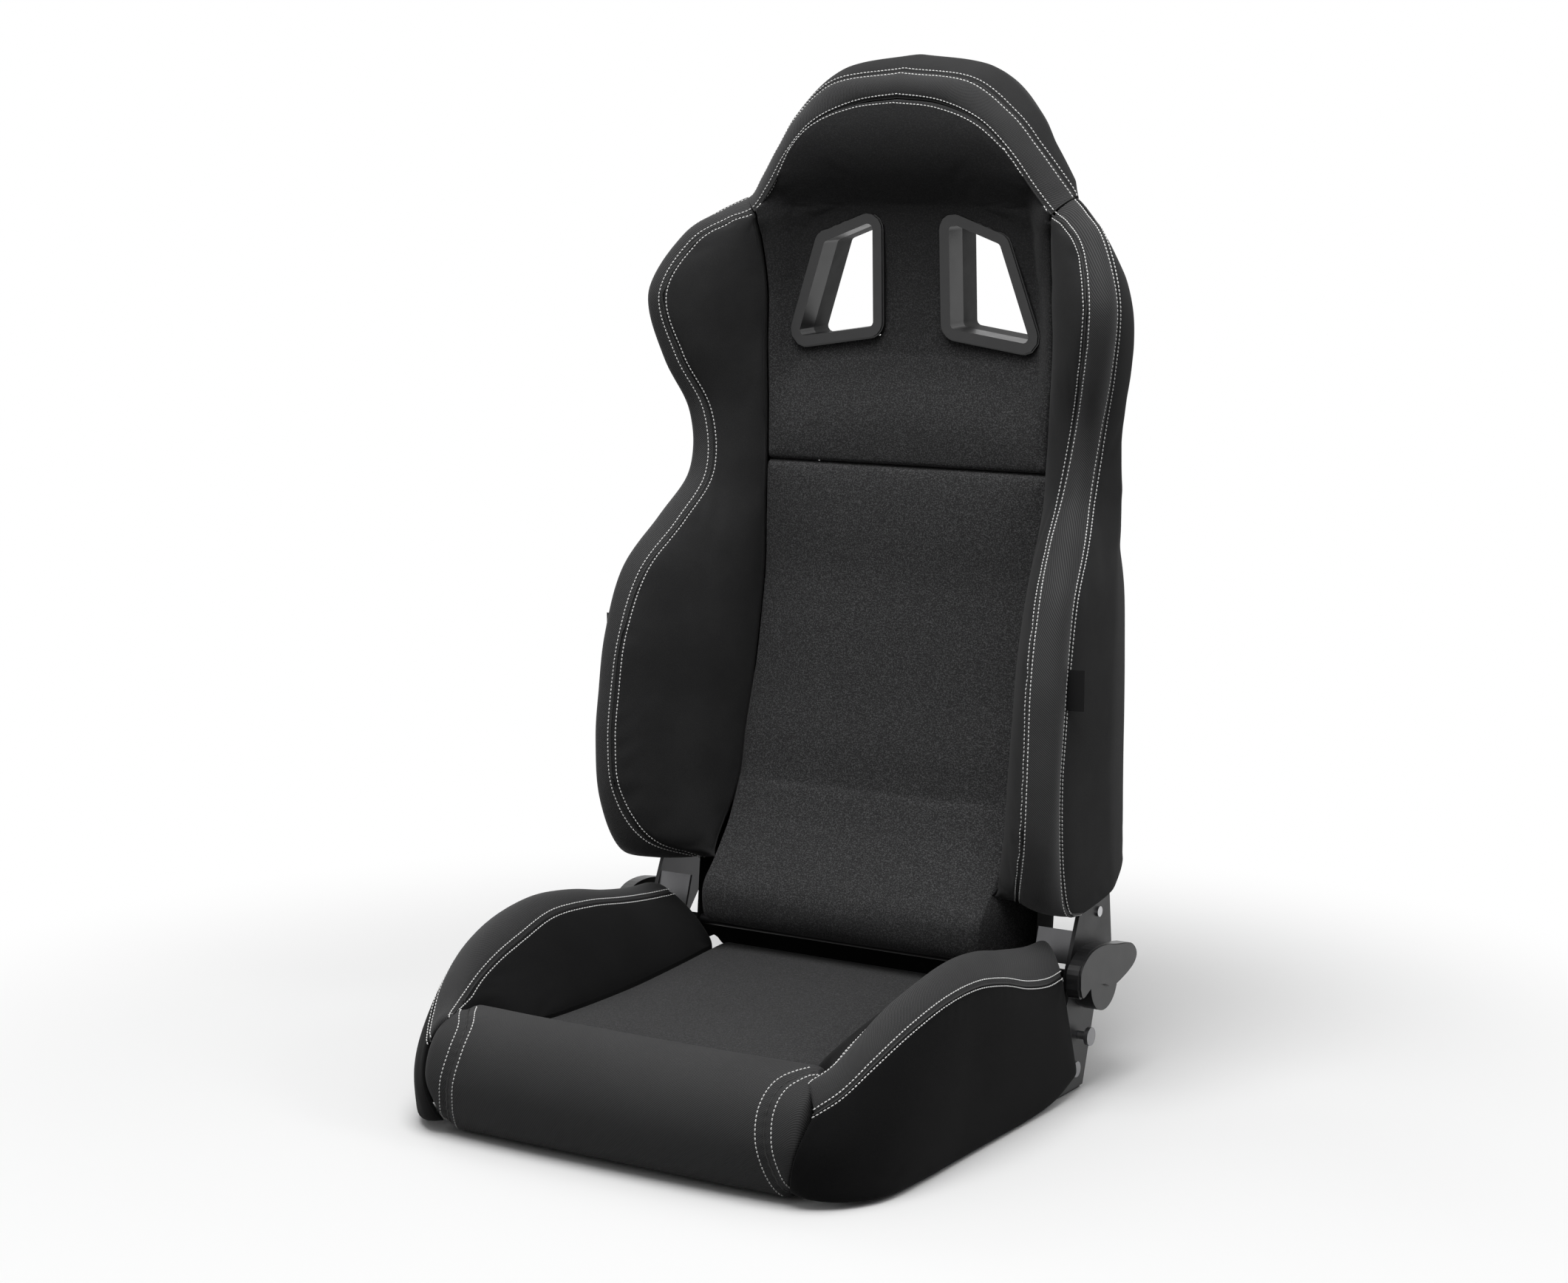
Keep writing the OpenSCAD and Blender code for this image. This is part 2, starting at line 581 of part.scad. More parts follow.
pawl_angle = -130;
module latch_pawl(side) {
  tip = [hinge_y, hinge_z] + (sector_r + 0.4) * [cos(pawl_angle), sin(pawl_angle)];
  out = [cos(pawl_angle), sin(pawl_angle)];
  across = [-out[1], out[0]];
  color(steel) both_sides(side) difference() {
    union() {
      prism_x(upper_plate_x, upper_plate_x + upper_plate_t) hull() {
        translate(stud_at) circle(r = 7);
        polygon([tip + out * 3 - across * 4, tip + out * 3 + across * 4, tip + out * 6]);
      }
      prism_x(upper_plate_x + 0.3, upper_plate_x + upper_plate_t - 0.3)
        polygon([tip - across * 0.8, tip + across * 0.8, tip + out * 4 + across * 2.4,
          tip + out * 4 - across * 2.4]);
    }
    disc_x(upper_plate_x - 1, upper_plate_x + upper_plate_t + 1, stud_r + run_gap, stud_at[0], stud_at[1]);
  }
}
module latch_pawl_left() latch_pawl(-1);
module latch_pawl_right() latch_pawl(1);

// ---- Release levers ----

lever_x = cover_x + 8;
hub_x = cover_x + 3.4;
lever_hub_r = disc_r;
// Edge of the handle from the front tip over the top and back underneath
lever_edge = [
  [-58, 4], [-56, 22], [-36, 35], [-8, 37], [22, 31], [lever_reach - 12, 25],
  [lever_reach, 14], [lever_reach - 8, 3], [30, -6], [10, -8], [-10, -1], [-34, 0], [-52, -6]
];
function lever_outline(n) = [for (k = [0 : n - 1]) curve(concat(lever_edge, [lever_edge[0]]), k / n)];

module release_lever(side) {
  color(plastic) both_sides(side) difference() {
    union() {
      prism_x(lever_x, lever_x + lever_t - 2) translate([hinge_y, hinge_z]) polygon(lever_outline(52));
      prism_x(lever_x + lever_t - 2.1, lever_x + lever_t)
        translate([hinge_y, hinge_z + 0.6]) scale(0.955) polygon(lever_outline(52));
      disc_x(hub_x, lever_x + lever_t - 3, lever_hub_r);
    }
    disc_x(hub_x - 1, hub_x + 12, shaft_r + run_gap);
  }
}
module release_lever_left() release_lever(-1);
module release_lever_right() release_lever(1);

module lever_shaft() {
  color(steel) disc_x(-(hub_x + 11.8), hub_x + 11.8, shaft_r);
}

// ---- Base steelwork ----

front_tube_z = 50;
front_tube_r = 12;
webbing_z = front_tube_z + front_tube_r + fit_gap;
rear_tube_at = [122, webbing_z - fit_gap - cross_r];
web_x1 = lower_plate_x;
web_x0 = web_x1 - side_frame_t;
frame_front = -bolt_dy / 2 - 27;
frame_rear = bolt_dy / 2 + 22;
flange_in = 48;

module side_frame(side) {
  color(black_steel) both_sides(side) difference() {
    union() {
      translate([web_x0, frame_front, 0]) cube([side_frame_t, frame_rear - frame_front, side_frame_h]);
      translate([web_x1 - flange_in, frame_front, 0]) cube([flange_in, frame_rear - frame_front, side_frame_t]);
      prism_x(web_x0, web_x1) translate([rear_tube_at[0] - 14, side_frame_h - 1])
        square([28, rear_tube_at[1] - side_frame_h + 12]);
    }
    for (y = [-1, 1] * bolt_dy / 2) translate([bolt_dx / 2, y, -1]) cylinder(h = 6, r = bolt_r);
    for (y = lower_bolt_y) disc_x(web_x0 - 1, web_x1 + 1, frame_bolt_r + 0.3, y, lower_bolt_z);
  }
}
module base_side_frame_left() side_frame(-1);
module base_side_frame_right() side_frame(1);

module floor_nuts() {
  color(steel) for (x = [-1, 1] * bolt_dx / 2) for (y = [-1, 1] * bolt_dy / 2)
    translate([x, y, side_frame_t]) difference() {
      cylinder(h = 9, r = 8);
      translate([0, 0, -1]) cylinder(h = 11, r = bolt_r);
    }
}

// The front tube bends round inside the corners of the front roll
front_tube_half = [
  [web_x0 - front_tube_r - 0.1, -128], [web_x0 - front_tube_r - 0.1, -165], [216, -198],
  [190, -224], [140, -233], [0, -234]
];
module base_front_tube() {
  n = len(front_tube_half);
  half = [for (p = front_tube_half) [p[0], p[1], front_tube_z]];
  whole = concat(half, [for (i = [2 : n]) flip(half[n - i])]);
  color(black_steel) bent_tube([for (t = steps(36)) curve(whole, t)], front_tube_r);
}
module base_rear_tube() {
  color(black_steel) disc_x(-web_x0, web_x0, cross_r, rear_tube_at[0], rear_tube_at[1]);
}

module frame_bolts() {
  color(steel) for (s = [-1, 1]) both_sides(s) for (y = lower_bolt_y) {
    disc_x(cover_x, cover_x + 1.6, 7.5, y, lower_bolt_z);
    disc_x(web_x0 - 8, cover_x + 0.1, frame_bolt_r, y, lower_bolt_z);
    disc_x(web_x0 - 6.5, web_x0, 7, y, lower_bolt_z);
  }
}

webbing_x = [-108, -54, 0, 54, 108];
module seat_webbing() {
  color("#26262a") for (x = webbing_x)
    translate([x - 18, front_tube_half[4][1], webbing_z])
      cube([36, rear_tube_at[0] - front_tube_half[4][1], web_t]);
}

// ---- Seat upholstery, right half, from front to rear ----

crest_h = insert_top + 62;
// Seam between the inner face of the base bolster and its twill crest
inner_crest = [
  [188, -246, insert_top + 14], [195, -218, insert_top + 20], [200, -187, insert_top + 34],
  [202, -156, insert_top + 46], [204, -118, insert_top + 56], [206, -66, insert_top + 67],
  [202, -10, insert_top + 66], [202, 45, insert_top + 58], [206, 95, insert_top + 51],
  [204, 138, insert_top + 48]
];
// Seam between the twill crest and the side panel
outer_crest = [
  [205, -262, insert_top - 9], [219, -238, insert_top + 4], [232, -208, insert_top + 25],
  [243, -164, insert_top + 46], [half_w - 1, -112, insert_top + 60],
  [half_w + 1, -60, insert_top + 62], [half_w + 2, -12, insert_top + 54],
  [half_w + 1, 35, insert_top + 40], [half_w - 1, 78, insert_top + 32],
  [half_w - 3, 112, insert_top + 32]
];
// Seam between the seat insert and the bolster
seat_seam = [
  [188, -246, insert_top + 2], [187.5, -203, insert_top + 1], [155, -184, insert_top - 3],
  [149, -150, insert_top - 5], [148, -110, insert_top - 6], [147, -66, insert_top - 6],
  [146, -15, insert_top - 5], [147, 38, insert_top - 3], [149, 88, insert_top - 1],
  [153, 136, insert_top + 1]
];
// Foot of the side panel
side_foot = [
  [184, -270, 12], [204, -266, 8], [228, -248, 5], [half_w - 4, -212, 3],
  [half_w, -150, 2], [half_w, -90, 2], [half_w, -25, 2], [half_w, 40, 2],
  [half_w, 95, 6], [half_w - 1, 144, 20]
];
pad_floor = webbing_z + web_t + fit_gap;
roll_rear = -206;

function panel_normal(t) =
  let (d = curve(side_foot, t + 0.02) - curve(side_foot, t - 0.02)) unit([d[1], -d[0], 0]);

function crest_point(t, f) =
  let (a = curve(inner_crest, t), b = curve(outer_crest, t), swell = 6 + 11 * smooth(0, 0.35, t))
  mix(a, b, f) + [0, 0, swell * sin(180 * f)];
function inner_face_point(t, f) =
  let (a = curve(seat_seam, t), b = curve(inner_crest, t))
  mix(a, b, f) + [-0.75, 0, 0.66] * (0.06 * norm(b - a) * sin(180 * f));

base_rows = 18;
module seat_bolster(side) {
  rows = steps(base_rows);
  outer = [for (t = rows) [
    for (f = [0, 0.25, 0.5, 0.8]) inner_face_point(t, f) + (f == 0 ? [seam_gap, 0, 0] : [0, 0, 0]),
    for (f = [0, 0.2, 0.5, 0.8, 1]) crest_point(t, f)]];
  inner = [for (t = rows)
    let (a = curve(seat_seam, t), b = curve(outer_crest, t),
         a1 = [a[0] + 3, a[1], pad_floor + 1], b1 = b - panel_normal(t) * (cover_t + 1))
    [for (f = steps(8)) mix(a1, b1, f)]];
  color(charcoal) both_sides(side) padded(outer, inner);
}
module seat_bolster_left() seat_bolster(-1);
module seat_bolster_right() seat_bolster(1);

// The panel bulges most beside the front roll
function panel_swell(t) = 5 * (1 - smooth(0.3, 0.6, t)) + 9 * (1 - smooth(0.05, 0.4, t));
module seat_side_panel(side) {
  rows = [for (k = steps(18)) 0.002 + 0.996 * k];
  function row(t, inset) =
    let (a = curve(outer_crest, t), b = curve(side_foot, t))
    [for (f = steps(5)) mix(a, b, f)
      + panel_normal(t) * (panel_swell(t) * sin(180 * f) - inset)
      - [0, 0, seam_gap * (1 - f)]];
  color(charcoal) both_sides(side)
    padded([for (t = rows) row(t, 0)], [for (t = rows) row(t, cover_t)]);
}
module seat_side_panel_left() seat_side_panel(-1);
module seat_side_panel_right() seat_side_panel(1);

module seat_insert() {
  n = 8;
  m = base_rows - 2;
  rows = [for (j = [0 : m]) let (p = curve(seat_seam, (j + 2) / base_rows))
    [p[0], j == 0 ? roll_rear + seam_gap : p[1], p[2]]];
  outer = [for (j = [0 : m]) [for (u = steps(n)) let (p = rows[j])
    [mix(-p[0], p[0], u) * (1 - seam_gap / 150), p[1], p[2] + 5 * pillow(u, j / m)]]];
  inner = [for (j = [0 : m]) [for (u = steps(n)) let (p = rows[j])
    [mix(-p[0], p[0], u) * (1 - seam_gap / 150), p[1], pad_floor]]];
  color(knit) padded(outer, inner);
}

// Front roll seen from the side: from the insert over the crest and down to the foot
roll_edge = [
  [roll_rear, insert_top - 2], [roll_rear - 4, insert_top + 12], [-222, insert_top + 17], [-248, insert_top + 13],
  [-front_reach + 12, insert_top - 6], [-front_reach, 58], [-front_reach + 4, 32],
  [-front_reach + 15, 12], [-front_reach + 30, 3], [-front_reach + 52, 3]
];
roll_core = [-232, 50];
module front_roll() {
  n = 10;
  m = 14;
  function wide(u, v) = mix(-1, 1, u) * (186 - 5 * smooth(0.45, 0.85, v));
  outer = [for (u = steps(n)) [for (v = steps(m)) let (p = curve(roll_edge, v), x = wide(u, v))
    [x, p[0] + 7 * pow(abs(2 * u - 1), 3) * sin(180 * v), p[1]]]];
  inner = [for (u = steps(n)) [for (v = steps(m)) let (p = curve(roll_edge, v), x = wide(u, v),
      q = mix(roll_core, p, 0.42))
    [x, v == 0 ? roll_rear : q[0], v == 0 ? pad_floor : max(q[1], v > 0.9 ? 12 : 0)]]];
  color(twill) padded(outer, inner);
}

// ---- Fabric tags, blank ----
module fabric_tag(side) {
  color("#151516") both_sides(side)
    translate([half_w + 0.3, 102, 372]) cube([1, 20, 38]);
}
module fabric_tag_left() fabric_tag(-1);
module fabric_tag_right() fabric_tag(1);

base_side_frame_left();
base_side_frame_right();
base_front_tube();
base_rear_tube();
seat_webbing();
floor_nuts();
seat_insert();
seat_bolster_left();
seat_bolster_right();
seat_side_panel_left();
seat_side_panel_right();
front_roll();
lower_recliner_plate_left();
lower_recliner_plate_right();
hinge_bush_left();
hinge_bush_right();
hinge_cover_left();
hinge_cover_right();
latch_stud_left();
latch_stud_right();
latch_pawl_left();
latch_pawl_right();
frame_bolts();
lever_shaft();
release_lever_left();
release_lever_right();
back_hoop();
back_cross_tubes();
back_webbing();
upper_recliner_plate_left();
upper_recliner_plate_right();
plate_screws();
back_insert_lower();
back_insert_upper();
back_bolster_left();
back_bolster_right();
back_side_panel_left();
back_side_panel_right();
head_band();
back_rear_cover();
back_valance();
harness_bezel_left();
harness_bezel_right();
harness_tunnel_left();
harness_tunnel_right();
fabric_tag_left();
fabric_tag_right();
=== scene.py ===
import math

import bmesh
import bpy
import numpy as np
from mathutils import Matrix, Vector


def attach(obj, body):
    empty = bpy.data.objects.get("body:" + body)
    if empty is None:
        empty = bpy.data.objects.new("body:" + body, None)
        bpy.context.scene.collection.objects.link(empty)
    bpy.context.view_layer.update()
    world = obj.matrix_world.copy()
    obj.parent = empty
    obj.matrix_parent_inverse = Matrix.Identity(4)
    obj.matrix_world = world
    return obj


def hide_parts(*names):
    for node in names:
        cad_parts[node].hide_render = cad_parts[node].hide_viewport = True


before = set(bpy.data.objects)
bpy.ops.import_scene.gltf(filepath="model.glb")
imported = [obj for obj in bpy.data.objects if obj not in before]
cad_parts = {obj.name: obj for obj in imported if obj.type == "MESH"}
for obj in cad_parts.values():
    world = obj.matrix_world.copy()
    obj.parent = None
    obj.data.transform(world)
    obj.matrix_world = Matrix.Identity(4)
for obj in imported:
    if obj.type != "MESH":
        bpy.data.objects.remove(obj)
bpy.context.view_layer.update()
scene = bpy.context.scene

# Sizes are in millimetres here and in metres in the meshes
mm = 0.001
cameraView = {"turn": 32.0, "pitch": 8.95, "focalPixels": 4151.0, "place": (1488.0, -2362.0, 869.0),
              "pixels": (2122, 1736), "sensor": 36.0}


# Camera looking down by pitch and turned about Z; lens = focal pixels * sensor width / image width
def makeCamera():
    data = bpy.data.cameras.new("camera")
    camera = bpy.data.objects.new("camera", data)
    scene.collection.objects.link(camera)
    scene.camera = camera
    scene.render.resolution_x, scene.render.resolution_y = cameraView["pixels"]
    data.sensor_width = cameraView["sensor"]
    data.lens = cameraView["focalPixels"] * cameraView["sensor"] / cameraView["pixels"][0]
    turn, pitch = math.radians(cameraView["turn"]), math.radians(cameraView["pitch"])
    ahead = Vector((-math.sin(turn) * math.cos(pitch), math.cos(turn) * math.cos(pitch), -math.sin(pitch)))
    camera.location = Vector(cameraView["place"]) * mm
    camera.rotation_euler = ahead.to_track_quat("-Z", "Y").to_euler()
    data.clip_start, data.clip_end = 0.05, 60.0


makeCamera()

seat = {
    "height": 971.0, "halfWidth": 251.0, "insertHalf": 157.0, "insertTop": 92.0, "backY": 303.0,
    "cover": 6.0, "faceCrown": 0.07, "rollRear": -206.0,
}
# Seams and edges as (x, y, z) points on the right half; h, w, k and top move the parts that depend on them
h, w, k, top = seat["height"], seat["halfWidth"], seat["insertHalf"], seat["insertTop"]
headT = 14 / 19
crossT = 8.2 / 14
frontSeam = [
    (176, 156, 172), (206, 95, 200), (224, 66, 250), (w - 23, 62, 300), (w - 24, 67, 349),
    (w - 27, 76, 405), (217, 104, 467), (203, 152, 515), (196, 193, 560), (204, 201, 620),
    (222, 178, 675), (w - 18, 164, 735), (214, 188, 785), (186, 212, 808), (166, 225, 818),
    (145, 224, 842), (120, 220, h - 95), (88, 219, h - 66), (45, 222, h - 50), (0, 222, h - 45)]
outerSeam = [
    (w - 4, 150, 170), (w - 1, 113, 182), (w - 1, 99, 232), (w - 1, 96, 300), (w - 1, 101, 349),
    (w - 2, 110, 405), (w - 5, 128, 467), (236, 170, 515), (225, 205, 560), (230, 214, 620),
    (w - 5, 199, 675), (w + 3, 191, 737), (233, 206, 795), (203, 231, 820), (181, 248, 834),
    (167, 246, 852), (146, 241, h - 91), (121, 235, h - 60), (76, 231, h - 28), (0, 233, h - 18)]
insertSeam = [
    (k + 1, 138, 177), (k + 1, 153, 200), (k, 184, 250), (k, 196, 300), (k, 210, 349),
    (k, 222, 405), (k, 232, 460), (k, 234, 510), (k, 236, 560), (k + 1, 239, 620),
    (k + 3, 241, 680), (k + 2, 240, 740), (161, 233, 785), (163, 227, 805), (163, 226, 811)]
apronSeam = [
    (k - 1, 140, 118), (k - 1, 118, 122), (k, 113, 143), (k, 117, 161), (k, 135, 180),
    (k, 164, 216), (k, 185, 254)]
cornerIn = ([0, 0.1, 0.6, 0.64, 0.7, 0.74, 0.85, 0.92, 1], [80, 92, 90, 80, 76, 76, 74, 62, 50])
cornerSwell = ([0, 0.36, 0.42, 0.5, 0.58, 0.72, 0.78, 0.85, 0.91, 0.95, 1],
               [0, 0, 12, 2, 0, 0, 8, 15, 23, 28, 29])
cornerSquare = ([0, 0.4, 0.54, 0.6, 0.64, 0.72, 0.78, 1], [0.6, 0.65, 0.85, 1.1, 1.6, 1.5, 1.05, 1.0])
bandSwell = ([0, 0.35, 0.45, 0.58, 0.63, 0.68, 0.74, 1], [16, 16, 11, 13, 6, 3, 3, 5])
backPlane = ([0, 0.1, 0.4, 0.53, 0.74, 0.86, 1],
             [seat["backY"] + d for d in (-14, 0, 2, 4, 0, 18, 21)])
rearRise = ([0, 0.053, 0.098, 0.15, 1], [10, 42, 22, 0, 0])
hoopLine = ([118, 165, 280, 540, 700, 780, 850, 905, 960], [196, 205, 226, 266, 281, 283, 290, 297, 301])
innerCrest = [
    (188, -246, top + 14), (195, -218, top + 20), (200, -187, top + 34), (202, -156, top + 46),
    (204, -118, top + 56), (206, -66, top + 67), (202, -10, top + 66), (202, 45, top + 58),
    (206, 95, top + 51), (204, 138, top + 48)]
outerCrest = [
    (205, -262, top - 9), (219, -238, top + 4), (232, -208, top + 25), (243, -164, top + 46),
    (w - 1, -112, top + 60), (w + 1, -60, top + 62), (w + 2, -12, top + 54), (w + 1, 35, top + 40),
    (w - 1, 78, top + 32), (w - 3, 112, top + 32)]
seatSeam = [
    (188, -246, top + 2), (187.5, -203, top + 1), (155, -184, top - 3), (149, -150, top - 5),
    (148, -110, top - 6), (147, -66, top - 6), (146, -15, top - 5), (147, 38, top - 3),
    (149, 88, top - 1), (153, 136, top + 1)]
sideFoot = [
    (184, -270, 12), (204, -266, 8), (228, -248, 5), (w - 4, -212, 3), (w, -150, 2),
    (w, -90, 2), (w, -25, 2), (w, 40, 2), (w, 95, 6), (w - 1, 144, 20)]
rollEdge = [
    (-206, top - 2), (-210, top + 12), (-222, top + 17), (-248, top + 13), (-273, top - 6),
    (-285, 58), (-281, 32), (-270, 12), (-255, 3), (-233, 3)]
padFloor = 64.6


# Smooth curve through every control point; t runs from 0 to 1 and may be any array
def curveAt(points, t):
    p = np.asarray(points, float)
    n = len(p) - 1
    s = np.clip(np.asarray(t, float), 0, 1) * n
    i = np.minimum(s.astype(int), n - 1)
    f = (s - i)[..., None]
    b, c = p[i], p[i + 1]
    a = np.where((i == 0)[..., None], 2 * b - c, p[np.maximum(i - 1, 0)])
    d = np.where((i == n - 1)[..., None], 2 * c - b, p[np.minimum(i + 2, n)])
    return 0.5 * (2 * b + (c - a) * f + (2 * a - 5 * b + 4 * c - d) * f**2 + (3 * b - a - 3 * c + d) * f**3)


# Vectors scaled to length 1
def unit(v):
    return v / np.maximum(np.linalg.norm(v, axis=-1, keepdims=True), 1e-9)


# a at f = 0, b at f = 1
def mix(a, b, f):
    return a + (b - a) * f


# S-shaped step from 0 at low to 1 at high: 3f^2 - 2f^3
def smooth(low, high, v):
    f = np.clip((v - low) / (high - low), 0, 1)
    return f * f * (3 - 2 * f)


# n + 1 values from 0 to 1, close together at both ends
def spread(n):
    return 0.5 - 0.5 * np.cos(np.pi * np.arange(n + 1) / n)


# Flat-topped swell, 0 on the rim of a panel and 1 over its middle
def pillow(u, v, power=4):
    return (1 - np.abs(2 * u - 1)**power) * (1 - np.abs(2 * v - 1)**power)


# Points or directions mirrored to the other side of the seat
def flipX(p):
    return p * np.array([-1.0, 1.0, 1.0])


# Direction square to the outer seam, out of the seat, in the plane seen from the front
def seamOut(t):
    d = curveAt(outerSeam, t + 0.012) - curveAt(outerSeam, t - 0.012)
    return unit(np.stack([d[..., 2], 0 * d[..., 0], -d[..., 0]], -1))


# Side cover: a superellipse corner from the outer seam to the flat back
def sidePoint(t, f, inset=0.0):
    o, e = curveAt(outerSeam, t), seamOut(t)
    a = np.pi / 2 * f
    p = np.interp(t, *cornerSquare)
    c, s = np.maximum(np.cos(a), 0)**p, np.sin(a)**p
    depth = np.interp(t, *backPlane) - inset - o[..., 1]
    out = np.interp(t, *cornerSwell) * np.sin(2 * a) - np.interp(t, *cornerIn) * (1 - c) - inset * c
    lift = np.interp(t, *rearRise) * s
    return o + e * out[..., None] + np.stack([0 * s, depth * s, lift], -1)


# Twill band: the straight span between its seams plus an arched crown
def bandPoint(t, f):
    a, b, e = curveAt(frontSeam, t), curveAt(outerSeam, t), seamOut(t)
    ch = b - a
    across = (ch * e).sum(-1, keepdims=True)
    n = unit(e * ch[..., 1:2] - np.array([0, 1.0, 0]) * across)
    return a + ch * f[..., None] + n * (np.interp(t, *bandSwell) * np.sin(np.pi * f))[..., None]


# Bolster face: the straight span from the insert seam to the front seam plus a crown
def facePoint(t, f):
    a, b = curveAt(insertSeam, t / headT), curveAt(frontSeam, t)
    crown = seat["faceCrown"] * np.linalg.norm(b - a, axis=-1) * np.sin(np.pi * f)
    return a + (b - a) * f[..., None] - np.array([0.8, 0.6, 0]) * crown[..., None]


# Outward normals of a grid of points; side is a grid of points on the inner side
def gridNormals(p, inner):
    n = unit(np.cross(np.gradient(p, axis=0), np.gradient(p, axis=1)))
    return n * np.sign((n * (p - inner)).sum(-1).mean())


# Distance along each row from the column where a seam runs
def acrossFrom(p, column):
    s = lengthsAlong(p, 1)
    return s - s[:, column:column + 1] if column >= 0 else s[:, -1:] - s


# Sinks the surface along its seams: depth * exp(-(distance / width) squared)
def sinkSeams(p, n, columns, depth=2.2, width=3.6):
    sink = 0
    for column in columns:
        sink = np.maximum(sink, np.exp(-(acrossFrom(p, column) / width)**2))
    return p - n * (depth * sink)[..., None]


# Quads of a grid whose points are numbered from offset
def gridFaces(nu, nv, offset, keep, flip):
    i, j = np.meshgrid(np.arange(nu - 1), np.arange(nv - 1), indexing="ij")
    a = offset + i * nv + j
    q = np.stack([a, a + nv, a + nv + 1, a + 1], -1)[keep]
    return q[:, ::-1] if flip else q


# Closed solid between two grids of one size; quads where keep is false are left open through it
def solidFaces(nu, nv, keep):
    m = nu * nv
    outer, inner = gridFaces(nu, nv, 0, keep, False), gridFaces(nu, nv, m, keep, True)
    pairs = np.concatenate([outer[:, [0, 1]], outer[:, [1, 2]], outer[:, [2, 3]], outer[:, [3, 0]]])
    code = pairs[:, 0] * m + pairs[:, 1]
    rim = pairs[~np.isin(pairs[:, 1] * m + pairs[:, 0], code)]
    walls = np.stack([rim[:, 1], rim[:, 0], rim[:, 0] + m, rim[:, 1] + m], -1)
    return outer, inner, walls


# Running length of the lines of a grid along one axis
def lengthsAlong(p, axis):
    d = np.linalg.norm(np.diff(p, axis=axis), axis=-1)
    zero = np.zeros_like(np.take(d, [0], axis=axis))
    return np.concatenate([zero, np.cumsum(d, axis)], axis)


# Quads between n rings of m points, numbered from start
def ringFaces(n, m, start=0):
    i, j = np.meshgrid(np.arange(n - 1), np.arange(m), indexing="ij")
    b, c = start + i * m + j, start + i * m + (j + 1) % m
    return np.stack([b, c, c + m, b + m], -1).reshape(-1, 4)


# Mesh object from points in millimetres, in the scene
def newObject(name, vertices, faces, materials, faceMaterial=None, uv=None, smoothShade=True):
    mesh = bpy.data.meshes.new(name)
    mesh.from_pydata((np.asarray(vertices) * mm).tolist(), [], np.asarray(faces).tolist())
    for material in materials:
        mesh.materials.append(material)
    if faceMaterial is not None:
        mesh.polygons.foreach_set("material_index", np.asarray(faceMaterial, np.int32))
    if uv is not None:
        layer = mesh.uv_layers.new(name="UVMap")
        corner = np.zeros(len(mesh.loops), np.int32)
        mesh.loops.foreach_get("vertex_index", corner)
        layer.data.foreach_set("uv", (uv[corner] * mm).astype(np.float32).ravel())
    mesh.polygons.foreach_set("use_smooth", np.full(len(mesh.polygons), smoothShade))
    mesh.update()
    obj = bpy.data.objects.new(name, mesh)
    scene.collection.objects.link(obj)
    return obj


# Points of a mesh in millimetres
def readPoints(obj):
    flat = np.zeros(len(obj.data.vertices) * 3, np.float32)
    obj.data.vertices.foreach_get("co", flat)
    return flat.reshape(-1, 3).astype(float) / mm


cloth = {"quality": 4, "mass": 0.25, "tension_stiffness": 10, "compression_stiffness": 10,
         "shear_stiffness": 4, "bending_stiffness": 0.4, "use_pressure": True, "uniform_pressure_force": 4.0}
clothSteps = 20


# Cloth under pressure with its seams held; cap limits how far a point moves: cap * tanh(move / cap)
def inflate(obj, held, cap):
    start = readPoints(obj)
    group = obj.vertex_groups.new(name="held")
    group.add([int(v) for v in np.nonzero(held)[0]], 1.0, "REPLACE")
    puff = obj.modifiers.new("puff", "CLOTH")
    for key, value in cloth.items():
        setattr(puff.settings, key, value)
    puff.settings.vertex_group_mass = "held"
    puff.settings.effector_weights.gravity = 0
    puff.collision_settings.use_collision = False
    puff.collision_settings.use_self_collision = False
    puff.point_cache.frame_start, puff.point_cache.frame_end = 1, clothSteps
    for step in range(1, clothSteps + 1):
        scene.frame_set(step)
    move = readPoints(obj.evaluated_get(bpy.context.evaluated_depsgraph_get())) - start
    size = np.linalg.norm(move, axis=1, keepdims=True)
    move *= cap * np.tanh(size / cap) / np.maximum(size, 1e-6)
    print("  cloth", obj.name, "moved up to", round(float(size.max()), 1), "mm")
    obj.modifiers.remove(puff)
    obj.vertex_groups.remove(group)
    scene.frame_set(1)
    obj.data.vertices.foreach_set("co", ((start + move) * mm).astype(np.float32).ravel())
    obj.data.update()


# What a piece says about itself: the body it rides on and the CAD nodes it stands for
def dress(obj, body, nodes):
    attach(obj, body)
    if nodes:
        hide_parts(*nodes)


# Last steps of a padded piece
def finishPad(obj, body, nodes):
    levels = obj.modifiers.new("smooth", "SUBSURF")
    levels.levels = levels.render_levels = 1
    dress(obj, body, nodes)


